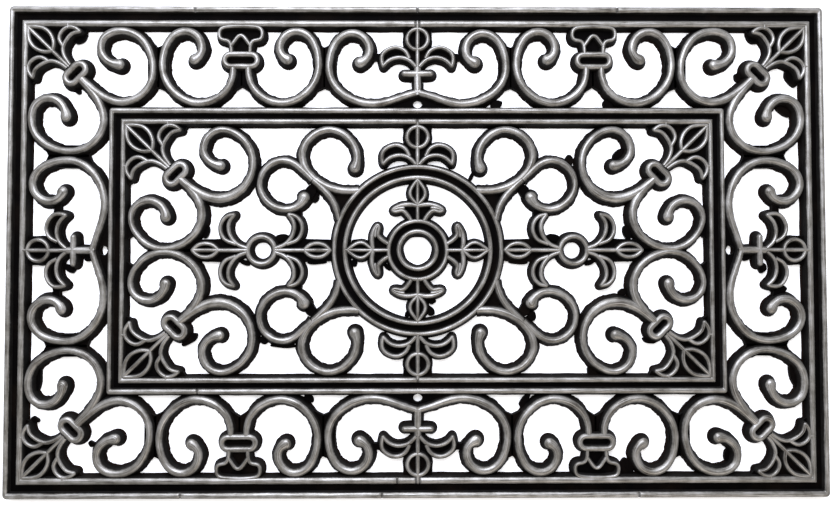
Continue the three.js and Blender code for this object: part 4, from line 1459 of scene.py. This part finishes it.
BORDER_PALMETTES = Palmettes(stem="border_palmette", reach=63.2, corner=LAYOUT.band_outer)
PANEL_PALMETTES = Palmettes(stem="panel_palmette", reach=66.0, corner=LAYOUT.panel)
CORNER_SCROLL = (
    (-0.618, 0.358, 1), (-0.338, 0.212, 1.05), (-0.104, 0.131, 1.05), (0.204, 0.074, 1.05),
    (0.539, 0.117, 1.05), (0.813, 0.259, 1), (0.914, 0.447, 0.92), (0.836, 0.693, 0.97),
    (0.563, 0.89, 1.03), (0.164, 0.94, 1.08), (-0.132, 0.874, 1.1), (-0.218, 0.719, 1.05),
    (-0.074, 0.575, 1.1), (0.181, 0.532, 1.05),
)
CORNER_SCROLL_WEB = (
    (0.78, 0.2), (1.0, 0.265), (1.03, 0.265), (1.03, 0.755), (1.0, 0.755), (0.77, 0.82),
)
CLASP_SCROLL = (
    (0.092, 0.512, 0.85), (0.103, 0.363, 0.9), (0.173, 0.216, 0.95), (0.321, 0.106, 1.02),
    (0.514, 0.063, 1.05), (0.712, 0.131, 1), (0.874, 0.298, 0.97), (0.935, 0.492, 0.95),
    (0.91, 0.706, 1), (0.813, 0.882, 1.06), (0.66, 0.939, 1.1), (0.522, 0.877, 1.1),
    (0.467, 0.738, 1.1), (0.495, 0.635, 1.08), (0.559, 0.595, 1.05),
)
CLASP_SCROLL_WEB = (
    (0.86, 0.2), (1.0, 0.265), (1.01, 0.265), (1.01, 0.755), (1.0, 0.755), (0.88, 0.82),
)
CLASP_FOOT_WEB = (
    (-0.01, 0.28), (0.0, 0.28), (0.14, 0.19), (0.18, 0.22), (0.11, 0.36), (0.1, 0.5), (-0.01, 0.5),
)
FLEUR_SCROLL = (
    (-0.03, 0.204, 0.9), (0.134, 0.154, 0.9), (0.297, 0.089, 1), (0.491, 0.054, 1.05),
    (0.686, 0.105, 1.05), (0.846, 0.227, 1), (0.937, 0.408, 0.97), (0.937, 0.615, 1),
    (0.854, 0.835, 1.05), (0.703, 0.921, 1.1), (0.567, 0.856, 1.1), (0.513, 0.719, 1.1),
    (0.543, 0.608, 1.08), (0.615, 0.56, 1.05),
)
FLEUR_SCROLL_WEB = (
    (0.87, 0.2), (1.0, 0.265), (1.01, 0.265), (1.01, 0.755), (1.0, 0.755), (0.88, 0.82),
)
FLEUR_PEAK_WEB = ((-0.004, -0.1), (0.34, -0.1), (0.34, 0.1), (0.1, 0.18), (-0.004, 0.18))


@dataclass
class CornerScrolls(Ornament):
    """The two scrolls that spring from each collar of the border."""

    def build(self, shop: Workshop) -> None:
        """Makes the pair of each corner.

        Args:
            shop: The workshop that makes its pieces.
        """
        relief = Relief()
        inner_x, inner_y = LAYOUT.band_inner
        rules = (
            LAYOUT.top_rule(-inner_x, inner_x - LAYOUT.corner_bay),
            LAYOUT.end_rule(inner_y, LAYOUT.side_bay - inner_y),
        )
        for rule in rules:
            self.scroll(CORNER_SCROLL, rule, relief, BORDER_PALMETTES.collar().outside)
            self.webs((CORNER_SCROLL_WEB,), rule, relief)
        shop.make_in_corners("border_corner_scrolls", relief)


@dataclass
class Clasps(Ornament):
    """The straps with their crowns, and the scroll on each side of them.

    Attributes:
        strap_share: Where the strap stands across the band.
        strap_top_share: Where the crown begins, between the strap and the outer frame.
        half_length: Half of the strap's outside length.
        half_width: Half of its outside width.
        crown_half: Half of the crown's width.
        crown_bead: The half width of its bead.
        crown: The right side of its outline, as shares of its half width and its height.
        peak: The peak inside it, as such shares.
        back: The web behind it, as such shares.
    """

    strap_share: float = 0.583
    strap_top_share: float = 0.25
    half_length: float = 18.0
    half_width: float = 8.3
    crown_half: float = 20.0
    crown_bead: float = 1.75
    crown: tuple[Point, ...] = (
        (0.43, -0.05), (0.46, 0.24), (0.56, 0.4), (0.94, 0.5), (1, 0.66), (0.97, 0.83),
        (0.84, 0.93),
    )
    peak: tuple[Point, ...] = ((0.46, 0.22), (0.07, 0.62), (-0.07, 0.62), (-0.46, 0.22))
    back: tuple[Point, ...] = ((-0.84, 0.93), (0.84, 0.93), (0.84, 1.2), (-0.84, 1.2))

    def build(self, shop: Workshop) -> None:
        """Makes the clasps and their scrolls.

        Args:
            shop: The workshop that makes its pieces.
        """
        x, y = LAYOUT.top_rule(-LAYOUT.clasp_x, 0.0)(0.0, self.strap_share)
        strap = Stadium(x, y, 0.0, self.half_length, self.half_width)
        foot = y + self.strap_top_share * (LAYOUT.band_outer[1] - y)
        rise = LAYOUT.band_outer[1] - foot

        def crown_rule(u: float, v: float) -> Point:
            """Places a share of the crown."""
            return (x + u * self.crown_half, foot + v * rise)

        relief = Relief()
        outline = [*self.crown, *[(-u, v) for u, v in reversed(self.crown)]]
        for rows in (outline, self.peak):
            places = lay_out(rows, crown_rule, self.crown_bead)
            relief.add_sweep(places, BEAD, FLAT, FLAT, step=BEAD_STEP)
        self.webs((outline, self.back), crown_rule, relief)
        strap.add_to(relief, self.web)
        shop.make_in_corners("clasp", relief)
        for side, bay_end in (("outer", LAYOUT.corner_bay), ("inner", LAYOUT.fleur_bay)):
            rule = LAYOUT.top_rule(-LAYOUT.clasp_x, LAYOUT.clasp_x - bay_end)
            scroll = Relief()
            self.scroll(CLASP_SCROLL, rule, scroll, strap.outside)
            self.webs((CLASP_SCROLL_WEB, CLASP_FOOT_WEB), rule, scroll)
            shop.make_in_corners(f"clasp_scroll_{side}", scroll)


FLEUR_OUTER = (
    (0.2, 0.21), (0.29, 0.38), (0.42, 0.465), (0.55, 0.485), (0.72, 0.43), (0.85, 0.3),
    (0.862, 0.12), (0.835, 0.03),
)
FLEUR_INNER = ((0.04, 0.01), (0.22, 0.18), (0.46, 0.235), (0.68, 0.17), (0.83, 0.03))
FLEUR_WEB = (
    (-0.02, -0.12), (0.2, 0.08), (0.46, 0.16), (0.68, 0.09), (0.835, 0), (0.862, 0.12), (0.85, 0.3),
    (0.72, 0.43), (0.55, 0.485), (0.4, 0.46), (0.27, 0.47), (0.33, 0.58), (0.345, 0.7),
    (0.335, 0.88), (0.38, 1.2), (-0.02, 1.2),
)
FLEUR_TIP_WEB = ((0.84, 0.14), (0.98, 0.21), (1.2, 0.18), (1.2, 0.42), (0.98, 0.35), (0.84, 0.38))


@dataclass
class Fleurs(Ornament):
    """The fleurs of the border and of the panel, and the scrolls under them.

    Attributes:
        ring_share: Where the ring stands in a fleur's height.
        ring_radius: The radius of the ring.
        ring_points: How many places it is drawn through.
        tip_share: How far up the rib reaches.
        panel_root_share: How far the rib of a panel's fleur reaches down.
        root_share: Where a border fleur begins across the band.
        spread_share: The width of its leaves against its bay.
        bar_share: Where its crossbar stands across the band.
        stem_share: Where its stem begins across the band.
        bar_half_length: Half of the crossbar's length.
        bar_half_width: Half of the crossbar's width.
        stem_half_width: Half of the stem's width.
        hole_shares: Where the drain holes stand across the band, on the sides and the ends.
        hole_radius: The radius of a drain hole.
        hole_stretch: How much longer than that a hole is along the band.
        hole_slope: How far the walls round it spread.
    """

    ring_share: float = 0.68
    ring_radius: float = 9.7
    ring_points: int = 16
    tip_share: float = 1.04
    panel_root_share: float = 0.04
    root_share: float = 0.5
    spread_share: float = 0.44
    bar_share: float = 0.421
    stem_share: float = 0.16
    bar_half_length: float = 12.2
    bar_half_width: float = 2.9
    stem_half_width: float = 3.1
    hole_shares: Point = (0.062, 0.078)
    hole_radius: float = 3.8
    hole_stretch: float = 1.15
    hole_slope: float = 0.2

    def head(self, rules: Sequence[Rule], height: float, root: float, relief: Relief) -> None:
        """Adds the leaves, the ring and the middle rib of a fleur.

        Args:
            rules: Rules that place shares of its height, on each side.
            height: Its height.
            root: How far its rib reaches below it, as a share.
            relief: What it is added to.
        """
        for rule in rules:
            self.beads(FLEUR_OUTER, rule, FLAT, ROUND, relief)
            self.beads(FLEUR_INNER, rule, FLAT, ROUND, relief)
            self.webs((FLEUR_WEB,), rule, relief)
        reach = self.ring_radius / height
        turns = [2 * math.pi * i / self.ring_points for i in range(self.ring_points)]
        ring = [(reach * math.cos(t), self.ring_share + reach * math.sin(t)) for t in turns]
        places = lay_out(ring, rules[0], self.bead)
        relief.add_sweep(places, BEAD, closed=True, step=BEAD_STEP)
        self.beads(((0.0, -root), (0.0, self.tip_share)), rules[0], FLAT, FLAT, relief)

    def border(
        self, start: Rule, flip: Rule, turn: float, hole: float
    ) -> tuple[Relief, Relief]:
        """Makes a border fleur and the pair of scrolls under it.

        Args:
            start: The rule of its bay.
            flip: The rule of the bay's other half.
            turn: The direction across the fleur.
            hole: Where the drain hole stands across the band.

        Returns:
            The fleur's relief and the scrolls' relief.
        """
        fleur, scrolls = Relief(), Relief()
        height = LAYOUT.band * (1 - self.root_share)
        spread = self.spread_share * math.dist(start(0.0, 0.0), start(1.0, 0.0))

        def head_rule(sign: int) -> Rule:
            """Gives the rule of one side of the head."""
            root = start(0.0, self.root_share)
            return lambda u, v: moved(root, turn, sign * u * spread, v * height)

        rules = (head_rule(1), head_rule(-1))
        self.head(rules, height, 0.0, fleur)
        middle = start(0.0, self.bar_share)
        ends = [moved(middle, turn, sign * self.bar_half_length, 0.0) for sign in (-1, 1)]
        crossbar = [(*end, self.bar_half_width) for end in ends]
        fleur.add_sweep(crossbar, CROSSBAR, ROUND, ROUND)
        shares = (self.stem_share, self.root_share)
        stem = [(*start(0.0, share), self.stem_half_width) for share in shares]
        fleur.add_sweep(stem, COLLAR, FLAT, FLAT)
        for rule in rules:
            self.webs((FLEUR_TIP_WEB,), rule, fleur)
        for rule in (start, flip):
            self.scroll(FLEUR_SCROLL, rule, scrolls)
            self.webs((FLEUR_SCROLL_WEB,), rule, scrolls)
            scrolls.add_plate(self.pierced(rule, hole), self.web, self.hole_slope)
        return fleur, scrolls

    def pierced(self, rule: Rule, share: float) -> list[Point]:
        """Gives one side of the web under the peak, with half of the drain hole cut out.

        Args:
            rule: The rule of that half of the bay.
            share: How far across the band the hole stands.

        Returns:
            The web's outline.
        """
        facets = 12
        middle = np.array(rule(0.0, share))
        along, up = np.array(rule(1.0, share)) - middle, np.array(rule(0.0, 1.0)) - middle
        along, up = along / np.linalg.norm(along), up / np.linalg.norm(up)
        hole = []
        for i in range(facets + 1):
            turn = math.pi * (i / facets - 0.5)
            reach = math.sin(turn) * up + self.hole_stretch * math.cos(turn) * along
            hole.append(tuple(middle + self.hole_radius * reach))
        return [*reversed(hole), *[rule(u, v) for u, v in FLEUR_PEAK_WEB]]

    def build(self, shop: Workshop) -> None:
        """Makes every fleur.

        Args:
            shop: The workshop that makes its pieces.
        """
        bays = (
            (LAYOUT.top_rule, -LAYOUT.fleur_bay, 0.0, (("north", 1, 1), ("south", 1, -1))),
            (LAYOUT.end_rule, LAYOUT.side_bay, math.pi / 2, (("west", 1, 1), ("east", -1, 1))),
        )
        for (bay, span, turn, places), hole in zip(bays, self.hole_shares):
            fleur, scrolls = self.border(bay(0.0, span), bay(0.0, -span), turn, hole)
            for place, sx, sy in places:
                shop.make(f"fleur_{place}", fleur.mirrored(sx, sy))
                shop.make(f"fleur_scrolls_{place}", scrolls.mirrored(sx, sy))
        height = LAYOUT.panel[1] - LAYOUT.medallion
        middle = Relief()
        rules = (
            lambda u, v: (u * height, LAYOUT.medallion + v * height),
            lambda u, v: (-u * height, LAYOUT.medallion + v * height),
        )
        self.head(rules, height, self.panel_root_share, middle)
        for place, sx, sy in bays[0][-1]:
            shop.make(f"medallion_fleur_{place}", middle.mirrored(sx, sy))


PANEL_TOP = (
    (0.253, 0.581, 1), (0.31, 0.503, 1.1), (0.378, 0.436, 1.2), (0.451, 0.41, 1.3),
    (0.526, 0.44, 1.25), (0.586, 0.528, 1.05), (0.615, 0.65, 0.93), (0.607, 0.782, 0.93),
    (0.557, 0.897, 0.93), (0.471, 0.957, 0.93), (0.407, 0.918, 0.98), (0.377, 0.811, 1),
    (0.393, 0.719, 1), (0.458, 0.669, 1),
)
PANEL_SIDE = (
    (0.253, 0.581, 1), (0.31, 0.494, 1.1), (0.355, 0.391, 1.1), (0.371, 0.272, 1.05),
    (0.347, 0.153, 1), (0.287, 0.058, 0.95), (0.198, 0.012, 0.9), (0.114, 0.043, 0.87),
    (0.05, 0.148, 0.82), (0.029, 0.257, 0.84), (0.053, 0.356, 0.95), (0.117, 0.394, 1.02),
    (0.176, 0.353, 1.05), (0.197, 0.264, 1.03),
)
CURL_TOUCH_WEB = (
    (0.58, 0.5), (0.605, 0.6), (0.613, 0.72), (0.66, 0.66), (0.656, 0.583), (0.654, 0.49),
    (0.62, 0.51),
)
PANEL_SIDE_WEB = (
    (-0.02, 0.08), (-0.002, 0.08), (0.03, 0.12), (0.06, 0.13), (0.04, 0.28), (-0.02, 0.33),
)
BIG_CURL = (
    (1.16, 0.477, 1), (1.081, 0.47, 1), (0.997, 0.491, 1), (0.914, 0.566, 1.02),
    (0.862, 0.681, 1.02), (0.857, 0.794, 1.02), (0.904, 0.906, 1), (0.983, 0.957, 0.95),
    (1.063, 0.912, 1), (1.111, 0.809, 1), (1.121, 0.714, 1), (1.11, 0.651, 1),
)
CURL_ARM = (
    (0.909, 0.556, 0.9), (0.953, 0.489, 0.9), (0.992, 0.421, 0.9), (1.018, 0.34, 0.85),
    (1.035, 0.24, 0.8),
)
BIG_CURL_WEB = ((1.02, 0.33), (1.12, 0.33), (1.12, 0.46), (1.02, 0.46))
SMALL_CURL = (
    (0.905, 0.556, 0.85), (0.893, 0.585, 0.9), (0.862, 0.62, 0.9), (0.821, 0.683, 0.9),
    (0.763, 0.712, 0.92), (0.697, 0.675, 0.9), (0.656, 0.583, 0.85), (0.654, 0.476, 0.85),
    (0.695, 0.374, 0.92), (0.758, 0.325, 0.95), (0.812, 0.334, 0.98), (0.848, 0.368, 1.05),
    (0.864, 0.417, 1.1),
)
SMALL_CURL_TIP_WEB = (
    (0.862, 0.45), (0.872, 0.5), (0.898, 0.53), (0.924, 0.476), (0.898, 0.404), (0.872, 0.391),
)


@dataclass
class PanelScrolls(Ornament):
    """The scrolls and curls of the panel, which run in a little way under the medallion."""

    overlap: float = 2.2

    def build(self, shop: Workshop) -> None:
        """Makes the scrolls of each quarter of the panel.

        Args:
            shop: The workshop that makes its pieces.
        """
        rule = LAYOUT.panel_rule
        scrolls, curl, small = Relief(), Relief(), Relief()
        for rows in (PANEL_TOP, PANEL_SIDE):
            self.scroll(rows, rule, scrolls, PANEL_PALMETTES.collar().outside)
        self.webs((CURL_TOUCH_WEB, PANEL_SIDE_WEB), rule, scrolls)
        shop.make_in_corners("panel_scrolls", scrolls)

        ring = LAYOUT.medallion - self.overlap
        self.scroll(BIG_CURL, rule, curl, lambda x, y: math.hypot(x, y) > ring)
        curl.add_sweep(lay_out(CURL_ARM, rule, self.bar), BAR, FLAT, FLAT)
        self.webs((BIG_CURL_WEB,), rule, curl)
        shop.make_in_corners("big_curl", curl)

        self.scroll(SMALL_CURL, rule, small)
        self.webs((SMALL_CURL_TIP_WEB,), rule, small)
        shop.make_in_corners("small_curl", small)


ROUNDEL_INNER = ((0.2, 0.03), (0.32, 0.075), (0.41, 0.16), (0.462, 0.28), (0.455, 0.4), (0.39, 0.5))
ROUNDEL_OUTER = (
    (0.37, 0.09), (0.51, 0.15), (0.578, 0.28), (0.56, 0.4), (0.48, 0.485), (0.39, 0.505),
)
ROUNDEL_WEB = (
    (0.16, -0.02), (0.16, 0.04), (0.32, 0.075), (0.41, 0.16), (0.462, 0.28), (0.455, 0.4),
    (0.39, 0.505), (0.48, 0.485), (0.56, 0.4), (0.578, 0.28), (0.58, 0.16), (0.98, 0.15),
    (1.14, 0.05), (1.14, -0.02),
)
ROUNDEL_TOUCH_WEB = ((0.45, 0.4), (0.36, 0.57), (0.56, 0.57), (0.56, 0.4))


@dataclass
class Roundels(Ornament):
    """The small rings beside the medallion, with their leaves and crescents.

    Attributes:
        radius: The ring's outer radius at the top.
        rail: The width of its one bead.
        flare: How far its walls spread.
        drop: How far the bead falls to its shoulders.
        roundness: The power of the curve of the bead.
        shares: Where the bead has edges, as shares of its half width.
        rough: How far those edges wander.
        wall: A wall's edges, as share of the flare, height and wander.
        segments: How many facets the ring has.
        reach: The distance from its middle to the medallion.
        leaf_share: Where its leaves begin, as a share of the reach.
        leaf_half_width: Half of a leaf's width.
        rib_shares: Where the middle rib begins and ends, as shares of the reach.
    """

    radius: float = 14.8
    rail: float = 4.4
    flare: float = 3.0
    drop: float = 1.7
    roundness: float = 2.2
    shares: tuple[float, ...] = (-1.0, -0.9, -0.65, -0.3, 0.0, 0.3, 0.65, 0.9, 1.0)
    rough: float = 0.03
    wall: tuple[Row, ...] = ((1.0, 0.0, 0.1), (0.6, 2.6, 0.08), (0.2, 6.2, 0.04))
    segments: int = 64
    reach: float = 65.4
    leaf_share: float = 0.58
    leaf_half_width: float = 8.2
    rib_shares: Point = (0.2, 0.97)

    def build(self, shop: Workshop) -> None:
        """Makes the roundel on each side.

        Args:
            shop: The workshop that makes its pieces.
        """
        relief = Relief()
        x = -LAYOUT.medallion - self.reach
        middle = self.reach * (1 + self.leaf_share) / 2
        half = self.reach * (1 - self.leaf_share) / 2
        for sx in (1, -1):
            for sy in (1, -1):
                rule = self.rule(x, sx, sy)
                self.beads(ROUNDEL_INNER, rule, FLAT, ROUND, relief)
                self.beads(ROUNDEL_OUTER, rule, ROUND, ROUND, relief)
                webs = (ROUNDEL_WEB, ROUNDEL_TOUCH_WEB) if sx > 0 else (ROUNDEL_WEB,)
                self.webs(webs, rule, relief)
            self.leaf((x + sx * middle, 0.0), 0.0, half, self.leaf_half_width, relief)
            rib = [(share, 0.0) for share in self.rib_shares]
            self.beads(rib, self.rule(x, sx, 1), FLAT, ROUND, relief)
        relief.add_loft(turned(self.radius, self.section(), x, self.segments))
        shop.make("roundel_west", relief)
        shop.make("roundel_east", relief.mirrored(-1, 1))

    def rule(self, x: float, sx: int, sy: int) -> Rule:
        """Gives the rule of one quarter."""
        return lambda u, v: (x + sx * u * self.reach, sy * v * self.reach)

    def section(self) -> list[Row]:
        """Gives the cross-section of the ring, a single wide bead.

        Returns:
            Rows of inset, height and how much the edge wanders.
        """
        rows = [(-out * self.flare, z, rough) for out, z, rough in self.wall]
        for t in self.shares:
            fall = self.drop * abs(t) ** self.roundness
            rows.append((self.rail * (1 + t) / 2, LAYOUT.height - fall, self.rough))
        wall = reversed(self.wall)
        return rows + [(self.rail + out * self.flare, z, rough) for out, z, rough in wall]


HUB_HORN = (
    (0, 0.628, 1.1), (-0.1, 0.648, 1.25), (-0.21, 0.643, 1.2), (-0.3, 0.613, 1.1),
    (-0.366, 0.562, 0.95), (-0.31, 0.546, 1), (-0.22, 0.563, 1.15), (-0.145, 0.5, 1.15),
    (-0.093, 0.42, 1.1),
)
HUB_HORN_FILL = ((-0.335, 0.572, 0.8), (-0.275, 0.594, 1.1), (-0.2, 0.602, 0.9))
HUB_WEB = (
    (-0.13, 0.4), (-0.145, 0.49), (-0.2, 0.555), (-0.3, 0.58), (-0.21, 0.642), (-0.155, 0.665),
    (-0.14, 0.73), (-0.105, 0.83), (-0.075, 0.93), (-0.13, 0.99), (-0.15, 1.05), (0.02, 1.05),
    (0.02, 0.4),
)


@dataclass
class Hub(Ornament):
    """The small double ring in the middle with its leaves and horns.

    Attributes:
        radius: The ring's outer radius at the top.
        rail: Its two beads and the channel between them.
        segments: How many facets it has.
        leaf_start_share: Where a leaf begins, as a share of the medallion's opening.
        leaf_half_width_share: Half of a leaf's width inside its beads, as such a share.
        rib_shares: Where the middle rib begins and ends, as such shares.
    """

    radius: float = 28.8
    rail: Rail = Rail(3.6, 5.7, 3.9)
    segments: int = 96
    bead: float = 1.65
    leaf_start_share: float = 0.64
    leaf_half_width_share: float = 0.108
    rib_shares: Point = (0.4, 1.03)
    bulge: tuple[Point, ...] = (
        (1.0, 0.0), (0.6, 0.52), (0.3, 0.84), (0.0, 1.0), (-0.38, 0.87), (-0.72, 0.42), (-1.0, 0.0),
    )

    def build(self, shop: Workshop) -> None:
        """Makes the hub.

        Args:
            shop: The workshop that makes its pieces.
        """
        relief = Relief()
        reach = LAYOUT.medallion - LAYOUT.medallion_rail
        middle = reach * (1 + self.leaf_start_share) / 2
        half = reach * (1 - self.leaf_start_share) / 2 + self.bead
        width = reach * self.leaf_half_width_share + self.bead
        rib = [(0.0, share) for share in self.rib_shares]
        for quarter in range(4):
            turn = quarter * math.pi / 2
            place = moved((0.0, 0.0), turn, 0.0, middle)
            self.leaf(place, turn + math.pi / 2, half, width, relief)
            self.beads(rib, self.rule(reach, turn, 1), FLAT, FLAT, relief)
            for sign in (1, -1):
                rule = self.rule(reach, turn, sign)
                self.beads(HUB_HORN, rule, FLAT, FLAT, relief)
                self.beads(HUB_HORN_FILL, rule, ROUND, ROUND, relief)
                self.webs((HUB_WEB,), rule, relief)
        relief.add_loft(turned(self.radius, self.rail.rows(LAYOUT.height), 0.0, self.segments))
        shop.make("hub_rosette", relief)

    def rule(self, reach: float, turn: float, sign: int) -> Rule:
        """Gives the rule of one side of one quarter."""
        return lambda u, v: moved((0.0, 0.0), turn, reach * sign * u, reach * v)


@dataclass(frozen=True)
class Softbox:
    """A square area light that faces the mat.

    Attributes:
        name: The light's name.
        place: Where it stands, in metres.
        size: The length of its side, in metres.
        watts: Its power.
        colour: Its colour.
    """

    name: str
    place: Row
    size: float
    watts: float
    colour: str

    def build(self) -> None:
        """Adds the light."""
        data = bpy.data.lights.new(self.name, "AREA")
        data.size = self.size
        data.energy = self.watts
        data.color = linear(self.colour)[:3]
        light = bpy.data.objects.new(self.name, data)
        light.location = self.place
        aim = -np.array(self.place)
        across = math.hypot(aim[0], aim[1])
        turn = math.atan2(aim[1], aim[0]) - math.pi / 2
        light.rotation_euler = Euler((math.atan2(across, -aim[2]), 0.0, turn), "XYZ")
        bpy.context.scene.collection.objects.link(light)


@dataclass(frozen=True)
class Studio:
    """The camera, the white floor and the soft light.

    Attributes:
        place: Where the camera stands, in millimetres.
        turn: How it is turned.
        lens: Its focal length.
        sensor: The width of its sensor.
        floor_half: Half of the floor's side, in metres.
        floor_drop: How far it lies under the mat, in metres.
        floor_colour: The acrylic's colour.
        floor_pale: Its colour where it is paler.
        floor_patches: How many patches of tone it has to the metre.
        glow: How strongly the light table shines through it.
        sky: The colour of the light from all sides.
        sky_strength: How strong that is.
        boxes: The softboxes: a cool one beyond the mat's far side, and a weak warm one.
    """

    place: Row = (-4.10, -19.72, 650.0)
    turn: Row = (0.02731, -0.00685, -0.00085)
    lens: float = 29.80
    sensor: float = 36.0
    floor_half: float = 3.0
    floor_drop: float = 0.0002
    floor_colour: str = "#f4f4f5"
    floor_pale: str = "#fafafa"
    floor_patches: float = 6.0
    glow: float = 0.35
    sky: str = "#fffdfb"
    sky_strength: float = 0.66
    boxes: tuple[Softbox, ...] = (
        Softbox("key", (-0.22, 1.0, 1.15), 1.3, 46.0, "#e9efff"),
        Softbox("fill", (0.5, -1.3, 1.1), 1.2, 7.0, "#fff3e8"),
    )

    def build(self) -> None:
        """Makes everything that isn't the mat."""
        self.add_camera()
        self.add_floor()
        self.add_sky()
        for box in self.boxes:
            box.build()

    def add_camera(self) -> None:
        """Adds the camera over the mat, where the photograph was taken from."""
        data = bpy.data.cameras.new("overhead")
        data.sensor_width = self.sensor
        data.sensor_fit = "HORIZONTAL"
        data.lens = self.lens
        data.clip_start = 0.01
        camera = bpy.data.objects.new("overhead", data)
        camera.location = [value * MM for value in self.place]
        camera.rotation_euler = Euler(self.turn, "XYZ")
        bpy.context.scene.collection.objects.link(camera)
        bpy.context.scene.camera = camera

    def add_floor(self) -> None:
        """Adds a plain pale floor."""
        mesh = bpy.data.meshes.new("floor")
        work = bmesh.new()
        bmesh.ops.create_grid(work, x_segments=8, y_segments=8, size=self.floor_half)
        work.to_mesh(mesh)
        work.free()
        mesh.materials.append(self.opal())
        floor = bpy.data.objects.new("floor", mesh)
        floor.location = (0.0, 0.0, -self.floor_drop)
        bpy.context.scene.collection.objects.link(floor)

    def opal(self) -> bpy.types.Material:
        """Makes opal acrylic over a dim light table, which keeps the gaps of the mat white.

        Returns:
            The new material.
        """
        material = empty_material("acrylic_opal_sheet")
        add = partial(add_node, material.node_tree)
        # The sheet is a little uneven in tone, in patches as wide as a hand is long.
        noise = add("TexNoise", {"Vector": add("NewGeometry"), "Scale": self.floor_patches})
        tones = {6: linear(self.floor_colour), 7: linear(self.floor_pale)}
        surface = {
            "Base Color": add("Mix", {0: noise, **tones}, data_type="RGBA"),
            "Roughness": 0.9,
            "Emission Color": linear("#ffffff"),
            "Emission Strength": self.glow,
        }
        add("OutputMaterial", {"Surface": add("BsdfPrincipled", surface)})
        return material

    def add_sky(self) -> None:
        """Adds a soft sky, and shows colours as they are."""
        scene = bpy.context.scene
        scene.view_settings.view_transform = "Standard"
        scene.world = bpy.data.worlds.new("studio")
        scene.world.use_nodes = True
        background = scene.world.node_tree.nodes["Background"]
        background.inputs["Color"].default_value = linear(self.sky)
        background.inputs["Strength"].default_value = self.sky_strength


def main() -> None:
    """Builds the mat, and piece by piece."""
    logging.basicConfig(level=logging.INFO, format="%(message)s")
    Studio().build()
    shop = Workshop(RubbedPewter().material())
    rim = tuple(LAYOUT.half[:2] - OUTER_SIDE.out_flare)
    edge = LAYOUT.band_inner
    assemblies = (
        Frame("outer_frame", rim, OUTER_END, OUTER_SIDE, OUTER_CORNER, OUTER_MARKS),
        Frame("inner_frame", edge, INNER_END, INNER_SIDE, INNER_CORNER, INNER_MARKS),
        Medallion(),
        Hub(),
        BORDER_PALMETTES,
        PANEL_PALMETTES,
        CornerScrolls(),
        Clasps(),
        Fleurs(),
        PanelScrolls(),
        Roundels(),
    )
    for assembly in assemblies:
        assembly.build(shop)


if __name__ == "__main__":
    main()
